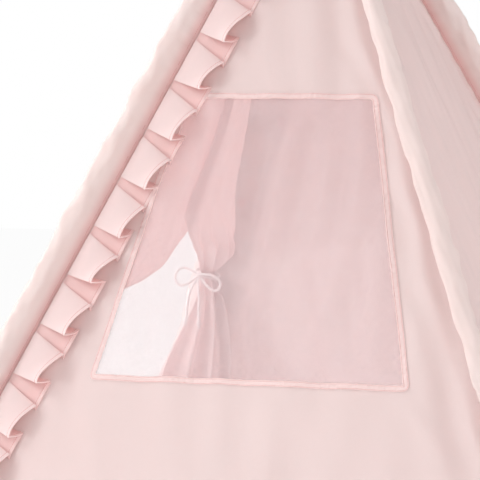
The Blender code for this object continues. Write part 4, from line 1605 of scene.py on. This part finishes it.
@dataclass
class Tie:
    """One curtain's tie: two twisted cords from the seam round the curtain, knotted in a bow."""

    tent: TentShape
    finishes: Finishes
    which: str
    cord: float = 0.0046
    knot_out: float = 0.064
    knot_in: float = 0.013
    bow_turn: float = math.radians(21.0)
    outer_length: float = 0.240
    inner_length: float = 0.290
    lay: float = 0.0150
    strands: int = 3
    ring_points: int = 18
    ring_step: float = 0.0012
    fibres: int = 16
    wrap_outer: tuple = ((0.0070, 0.0036), (0.018, 0.0036), (0.034, 0.0030), (0.047, 0.0005))
    wrap_inner: tuple = ((0.0035, -0.0065), (0.0045, -0.0150), (0.0070, -0.0270),
                         (0.016, -0.0300), (0.030, -0.0300), (0.046, -0.0286))
    loop_ring: tuple = ((0.020, 0.000, -0.012), (0.033, 0.002, -0.010), (0.039, 0.004, 0.003),
                        (0.032, 0.006, 0.015), (0.019, 0.007, 0.013))
    loop_drop: tuple = ((-0.020, 0.011, -0.001), (-0.033, 0.010, 0.008), (-0.034, 0.009, 0.020),
                        (-0.024, 0.009, 0.025), (-0.013, 0.008, 0.017))
    tail_outer: tuple = ((0.011, 0.004, 0.018), (0.017, 0.003, 0.034),
                         (0.020, 0.002, 0.052), (0.022, 0.002, 0.070))
    tail_inner: tuple = ((0.001, 0.0125, 0.018), (0.000, 0.0125, 0.036),
                         (0.001, 0.012, 0.054), (0.001, 0.012, 0.074))

    def __post_init__(self) -> None:
        """Works out the knot's place and the bow's ways."""
        self.plane = SidePlane(self.tent, Side.front)
        self.body = f"{self.which}_door"
        self.sign = 1.0 if self.which == "right" else -1.0
        mirror = -self.sign
        self.knot = self.beside_seam(self.knot_out, -self.knot_in)
        self.away = np.array((mirror * math.sin(self.bow_turn), -math.cos(self.bow_turn), 0.0))
        self.inside = np.array((mirror * math.cos(self.bow_turn), math.sin(self.bow_turn), 0.0))

    def beside_seam(self, away: float, lift: float) -> Array:
        """A point at the tie's height, from its distance to the seam and its lift."""
        depth = self.plane.depth_at(self.tent.tie_height)
        x = self.sign * (self.plane.seam_x(depth) - away)
        return self.plane.points(np.array(x), np.array(depth), np.array(lift))

    def near_knot(self, places: tuple) -> list[Array]:
        """Points given from the knot: away from it, towards the tent's inside, and down."""
        return [self.knot + a * self.away + b * self.inside - c * UP for a, b, c in places]

    def route(self, wrap: tuple, loop: tuple, tail: tuple) -> Array:
        """A cord's middle line: seam, wrap, knot, loop, knot again, tail."""
        points = [self.beside_seam(*place) for place in wrap]
        points += [self.knot + 0.0010 * UP, *self.near_knot(loop)]
        points += [self.knot - 0.0010 * UP, *self.near_knot(tail)]
        return spaced(rounded(np.array(points)), self.ring_step)

    def twisted(self, name: str, path: Array, radius: float) -> Piece:
        """A closed tube of strands laid round each other along a path.

        Args:
            name: The piece's name.
            path: The middle line's points.
            radius: The tube's radius.

        Returns:
            The object.
        """
        ways = np.gradient(path, axis=0)
        ways = ways / np.linalg.norm(ways, axis=1, keepdims=True)
        side = unit(np.cross(ways[0], UP + 0.3 * self.away))
        count = self.ring_points
        turns = np.linspace(0, 2 * math.pi, count, endpoint=False)
        lobes = 0.80 + 0.20 * np.abs(np.cos(self.strands / 2 * turns)) ** 0.7
        points = []
        for place, way, length in zip(path, ways, walked(path)):
            side = unit(side - side.dot(way) * way)
            spin = turns + 2 * math.pi * length / self.lay
            points.append(place + radius * lobes[:, None] * circled(spin, side, np.cross(way, side)))
        last = (len(path) - 1) * count
        faces = [(row + k, row + (k + 1) % count, row + count + (k + 1) % count, row + count + k)
                 for row in range(0, last, count) for k in range(count)]
        faces += [tuple(range(count))[::-1], tuple(range(last, last + count))]
        return new_mesh(name, np.concatenate(points), faces, self.finishes.cord)

    def build_knot(self) -> Piece:
        """Builds the bow's knot: a cord wound round the crossing."""
        turn = np.linspace(0, 2 * math.pi * 2.3, 60)
        off_middle = turn / turn[-1] - 0.5
        size = 0.0043 - 0.0011 * np.abs(off_middle) * 2
        path = self.knot + np.multiply.outer(off_middle * 0.0072, unit(self.away - 0.25 * UP))
        path = path + size[:, None] * circled(turn, self.inside, UP)
        made = self.twisted(f"tie_{self.which}_bow_knot", path, self.cord / 2 * 0.92)
        return attach(made, "cord", f"tie_{self.which}_knot", body=self.body)

    def build_end(self, name: str, end: Array, way: Array, seed: int) -> list[Piece]:
        """Builds the knot near a tail's end and its frayed tip.

        Args:
            name: The tail's name.
            end: The cord's last point.
            way: The way that the cord runs there.
            seed: Picks the fray.

        Returns:
            The knot and the fray.
        """
        side = unit(np.cross(way, self.away))
        other = np.cross(way, side)
        turn = np.linspace(0, 2 * math.pi * 1.7, 40)
        path = end + np.multiply.outer((turn / turn[-1]) * 0.0050, way) + 0.0024 * circled(turn, side, other)
        knot = self.twisted(f"{name}_end_knot", path, self.cord / 2 * 0.86)
        draw = np.random.default_rng(seed)
        square = circled(math.pi / 2 * np.arange(4), side, other)
        points = []
        faces = []
        for base in range(0, 12 * self.fibres, 12):
            lean = draw.uniform(-1, 1, 2)
            leaning = lean[0] * side + lean[1] * other
            root = end + 0.005 * way + 0.0011 * leaning
            tip = root + draw.uniform(0.006, 0.009) * way + 0.0022 * leaning
            mid = (root + tip) / 2 + 0.0006 * (draw.uniform(-1, 1) * side + draw.uniform(-1, 1) * other)
            points += [root + 0.00042 * square, mid + 0.00038 * square, tip + 0.00014 * square]
            faces += [(row + k, row + (k + 1) % 4, row + (k + 1) % 4 + 4, row + k + 4)
                      for row in (base, base + 4) for k in range(4)]
            faces += [(base + 3, base + 2, base + 1, base), (base + 8, base + 9, base + 10, base + 11)]
        fray = new_mesh(f"{name}_fray", np.concatenate(points), faces, self.finishes.cord)
        return [attach(made, "cord", body=self.body) for made in (knot, fray)]

    def build(self) -> list[Piece]:
        """Builds both cords, the knot and the tails' ends."""
        knot = self.build_knot()
        made = [knot]
        cords = (
            ("outer", "ring", self.wrap_outer, self.loop_ring, self.tail_outer, self.outer_length),
            ("inner", "drop", self.wrap_inner, self.loop_drop, self.tail_inner, self.inner_length),
        )
        for seed, (part, bow, wrap, loop, tail, length) in enumerate(cords):
            path = self.route(wrap, loop, tail)
            name = f"tie_{self.which}_cord_{part}"
            cord = self.twisted(name, path, self.cord / 2)
            ends = self.build_end(name, path[-1], unit(path[-1] - path[-3]), 40 + seed)
            nodes = [f"tie_{self.which}_{kind}" for kind in (f"wrap_{part}", f"loop_{bow}", f"tail_{part}")]
            attach(cord, "cord", *nodes, body=self.body)
            LOG.info("%s runs %.3f m", name, walked(path)[-1])
            made += [cord, *ends]
        return made


@dataclass
class Pole:
    """One corner's jointed pole: three dowels, two metal ferrules and a rubber foot."""

    tent: TentShape
    finishes: Finishes
    corner: Corner
    breaks: Pair = (0.36, 0.69)
    section_gap: float = 0.0003
    chamfer: float = 0.0016
    running_gap: float = 0.0005
    ferrule_half: float = 0.038
    ferrule_wall: float = 0.0010
    crimp_place: float = 0.0070
    crimp_half: float = 0.0010
    crimp_depth: float = 0.0004
    cap_height: float = 0.046
    cap_wall: float = 0.0035
    cap_sole: float = 0.0115
    cap_below: float = 0.012
    grooves: Triple = (0.020, 0.028, 0.036)
    groove_half: float = 0.0007
    groove_depth: float = 0.0010
    sides: int = 40

    def __post_init__(self) -> None:
        """Sets the pole's axis and the radius of the bores that it stands in."""
        self.line = CornerLine(self.tent, self.corner)
        self.bore = self.tent.pole_radius + self.running_gap

    def finish(self, made: Piece, start: float, finish: Material, kind: str, part: str) -> Piece:
        """Stands a piece on the pole and lets it stand for its plain solid.

        Args:
            made: The upright piece.
            start: How far up the pole its foot stands.
            finish: The material.
            kind: The solid's kind of part: pole, ferrule or foot.
            part: Which of them.

        Returns:
            The piece.
        """
        Bench.stand(made, self.line.ground + start * self.line.pole, self.line.pole, finish)
        slot = {"pole": "pine", "ferrule": "ferrule", "foot": "rubber"}[kind]
        return attach(made, slot, f"{self.corner.name}_{kind}_{part}", body=self.corner.leg)

    def build_dowel(self, part: str, start: float, end: float) -> Piece:
        """Builds a turned section with rounded ends."""
        length = end - start
        made = Bench.cylinder(f"{self.corner.name}_dowel_{part}", self.tent.pole_radius, length, self.sides)
        Bench.select(made, "EDGE", level_edge)
        bpy.ops.mesh.bevel(offset=self.chamfer, segments=4, affect="EDGES")
        Bench.cut(length * share for share in (0.25, 0.5, 0.75))
        bpy.ops.object.mode_set(mode="OBJECT")
        return self.finish(made, start, self.finishes.pine, "pole", part)

    def build_ferrule(self, part: str, middle: float) -> Piece:
        """Builds a drawn tube over a joint, with rolled ends and a crimped ring near each."""
        radius = self.bore + self.ferrule_wall
        length = 2 * self.ferrule_half
        name = f"{self.corner.name}_ferrule_tube_{part}"
        made = Bench.cylinder(name, radius, length, self.sides, open_ends=True)
        crimps = (self.crimp_place, length - self.crimp_place)
        Bench.cut(level + step for level in crimps for step in (-self.crimp_half, 0.0, self.crimp_half))
        for level in crimps:
            Bench.select(made, "EDGE", lambda edge, level=level: at_level(edge, level))
            Bench.narrow(level, 1 - self.crimp_depth / radius)
        bpy.ops.object.mode_set(mode="OBJECT")
        Bench.apply(made, "SOLIDIFY", thickness=self.ferrule_wall, offset=-1.0)
        Bench.apply(made, "BEVEL", width=0.0003, segments=2, limit_method="ANGLE",
                    angle_limit=math.radians(60))
        return self.finish(made, middle - self.ferrule_half, self.finishes.ferrule, "ferrule", part)

    def in_groove(self, edge: bmesh.types.BMEdge, level: float) -> bool:
        """True for an edge along the bottom of the foot's groove at a height."""
        return level_edge(edge) and all(
            abs(abs(vertex.co.z - level) - self.groove_half) < NEAR
            and vertex.co.xy.length > self.bore + 0.001
            for vertex in edge.verts
        )

    def build_foot(self) -> Piece:
        """Builds a ribbed rubber cup on the pole's end, cut level by the floor."""
        radius = self.bore + self.cap_wall
        full = self.cap_height + self.cap_below
        made = Bench.cylinder(f"{self.corner.name}_foot_cup", radius, full, self.sides)
        Bench.select(made, "FACE", lambda face: face.normal.z > 0.9)
        bpy.ops.mesh.inset(thickness=radius - self.bore, depth=0.0)
        down = (0, 0, self.cap_sole - self.cap_height)
        bpy.ops.mesh.extrude_region_move(TRANSFORM_OT_translate={"value": down})
        grooves = [self.cap_below + height for height in self.grooves]
        steps = [share * self.groove_half for share in (-2, -1, 1, 2)]
        Bench.cut(level + step for level in grooves for step in steps)
        for level in grooves:
            Bench.select(made, "EDGE", lambda edge, level=level: self.in_groove(edge, level))
            Bench.narrow(level, 1 - self.groove_depth / radius)
        Bench.select(made, "EDGE", lambda edge: at_level(edge, full))
        bpy.ops.mesh.bevel(offset=0.0010, segments=3, affect="EDGES")
        bpy.ops.object.mode_set(mode="OBJECT")
        self.finish(made, -self.cap_below, self.finishes.rubber, "foot", "cap")
        bpy.ops.object.mode_set(mode="EDIT")
        bpy.ops.mesh.select_all(action="SELECT")
        bpy.ops.mesh.bisect(plane_co=(0, 0, 0), plane_no=(0, 0, 1), clear_inner=True, use_fill=True)
        bpy.ops.object.mode_set(mode="OBJECT")
        return made

    def build(self) -> list[Piece]:
        """Builds the whole pole."""
        length = self.line.pole_length
        joints = [self.cap_sole, *(share * length for share in self.breaks), length]
        gap = self.section_gap / 2
        dowels = [self.build_dowel(part, low + gap, high - gap)
                  for part, low, high in zip(("lower", "middle", "upper"), joints, joints[1:])]
        ferrules = [self.build_ferrule(part, middle) for part, middle in zip(("lower", "upper"), joints[1:3])]
        return [*dowels, *ferrules, self.build_foot()]


@dataclass(frozen=True)
class Lamp:
    """A square soft lamp that faces a point."""

    name: str
    place: Triple
    aim: Triple
    size: float
    power: float

    def hang(self) -> None:
        """Adds the lamp to the scene."""
        light = bpy.data.lights.new(self.name, "AREA")
        light.size = self.size
        light.energy = self.power
        lamp = bpy.data.objects.new(self.name, light)
        lamp.location = self.place
        lamp.rotation_euler = (Vector(self.aim) - Vector(self.place)).to_track_quat("-Z", "Y").to_euler()
        bpy.context.scene.collection.objects.link(lamp)


LAMPS = (
    Lamp("key", (2.5, -2.8, 3.9), (0.0, 0.0, 0.7), 2.4, 72.0),
    Lamp("fill", (3.9, 2.7, 1.9), (0.0, 0.0, 0.6), 1.8, 15.0),
    Lamp("low", (2.3, -2.5, 0.70), (-0.4, -0.1, 0.40), 0.5, 20.0),
    Lamp("window", (3.7, 1.1, 1.25), (-0.22, -0.42, 0.42), 0.7, 14.0),
    Lamp("rear", (0.6, 4.2, 2.4), (0.0, 0.0, 0.6), 2.0, 45.0),
    Lamp("front", (-0.4, -4.0, 1.6), (0.0, 0.0, 0.6), 2.0, 88.0),
    Lamp("back", (-3.6, -0.6, 2.2), (0.0, 0.0, 0.6), 2.2, 75.0),
)


@dataclass
class Studio:
    """The floor, the pale surround, the soft lamps and the camera."""

    camera_place: Triple = (4.491, 1.608, 1.144)
    look_azimuth: float = 111.2
    look_pitch: float = -5.01
    look_roll: float = -0.77
    lens: float = 235.7
    floor_size: float = 16.0
    floor_shown_white: float = 0.94
    surround: float = 0.60

    def build_floor(self) -> None:
        """Lays a wide pale floor that the camera sees almost as white."""
        Bench.clear()
        bpy.ops.mesh.primitive_plane_add(size=self.floor_size, location=(0, 0, 0))
        floor = bpy.context.object
        floor.name = "studio_floor"
        graph = Graph("studio_floor_finish")
        tone = graph.blend(graph.noise(graph.place(), 1.5), (0.90, 0.90, 0.90, 1.0), (0.92, 0.92, 0.92, 1.0))
        plain = graph.node("ShaderNodeBsdfDiffuse", {"Color": tone})
        white = graph.node("ShaderNodeEmission", {"Color": WHITE, "Strength": 1.0})
        seen = graph.node("ShaderNodeLightPath").outputs["Is Camera Ray"]
        share = graph.math("MULTIPLY", seen, self.floor_shown_white)
        floor.data.materials.append(graph.finish(graph.mix(share, plain.outputs[0], white.outputs[0])))

    def build_surround(self) -> None:
        """Sets a soft world that shows as white and lights at a plain level."""
        graph = Graph("studio", world=True)
        paths = graph.node("ShaderNodeLightPath").outputs
        seen = graph.math("MAXIMUM", paths["Is Camera Ray"], paths["Is Glossy Ray"])
        soft = {"Color": (1.0, 0.99, 0.985, 1.0), "Strength": self.surround}
        lit = graph.node("ShaderNodeBackground", soft)
        white = graph.node("ShaderNodeBackground", {"Color": WHITE, "Strength": 1.0})
        bpy.context.scene.world = graph.finish(graph.mix(seen, lit.outputs[0], white.outputs[0]))

    def build_camera(self) -> None:
        """Sets the camera at the photograph's viewing angle."""
        data = bpy.data.cameras.new("view")
        data.lens = self.lens
        data.clip_end = 100.0
        camera = bpy.data.objects.new("view", data)
        yaw = Matrix.Rotation(math.radians(self.look_azimuth), 4, "Z")
        pitch = Matrix.Rotation(math.radians(90 + self.look_pitch), 4, "X")
        roll = Matrix.Rotation(math.radians(self.look_roll), 4, "Z")
        camera.matrix_world = Matrix.Translation(self.camera_place) @ (yaw @ pitch @ roll)
        bpy.context.scene.collection.objects.link(camera)
        bpy.context.scene.camera = camera

    def build(self) -> None:
        """Sets up the whole studio."""
        self.build_camera()
        self.build_floor()
        self.build_surround()
        for lamp in LAMPS:
            lamp.hang()
        bpy.context.scene.view_settings.view_transform = "Standard"


def main() -> None:
    """Builds the tent piece by piece and reports each one."""
    logging.basicConfig(level=logging.INFO, format="%(name)s: %(message)s")
    tent = TentShape()
    Studio().build()
    finishes = Finishes()
    sewn = (tent, finishes, Thread(finishes.thread))
    parts = [Tie(tent, finishes, which) for which in ("right", "left")]
    parts += [Pole(tent, finishes, corner) for corner in Corner]
    parts += [Sleeve(*sewn, corner, 50 + 10 * k) for k, corner in enumerate(Corner)]
    parts += [
        WindowSide(*sewn),
        PlainSide(*sewn, "back_side", Side.back, ("back_side_right_half", "back_side_left_half"),
                  ("back_panel_right", "back_panel_left"), ("back_right_sleeve", "back_left_sleeve"), 120),
        PlainSide(*sewn, "plain_side", Side.left, ("plain_side_rear_half", "plain_side_front_half"),
                  ("plain_side_rear", "plain_side_front"), ("back_left_sleeve", "front_left_sleeve"), 140),
        Frill(*sewn, "frill_right", Side.right, Corner.front_right, "window_side_front_half", 4),
        Frill(*sewn, "frill_left", Side.left, Corner.front_left, "plain_side_front_half", 6),
        DoorCurtain(*sewn, RIGHT_DOOR, 160),
        DoorCurtain(*sewn, LEFT_DOOR, 170),
        BoxStitch(tent, sewn[2]),
    ]
    for part in parts:
        for piece in part.build():
            LOG.info("%s: %d faces", piece.name, len(piece.data.polygons))


if __name__ == "__main__":
    main()
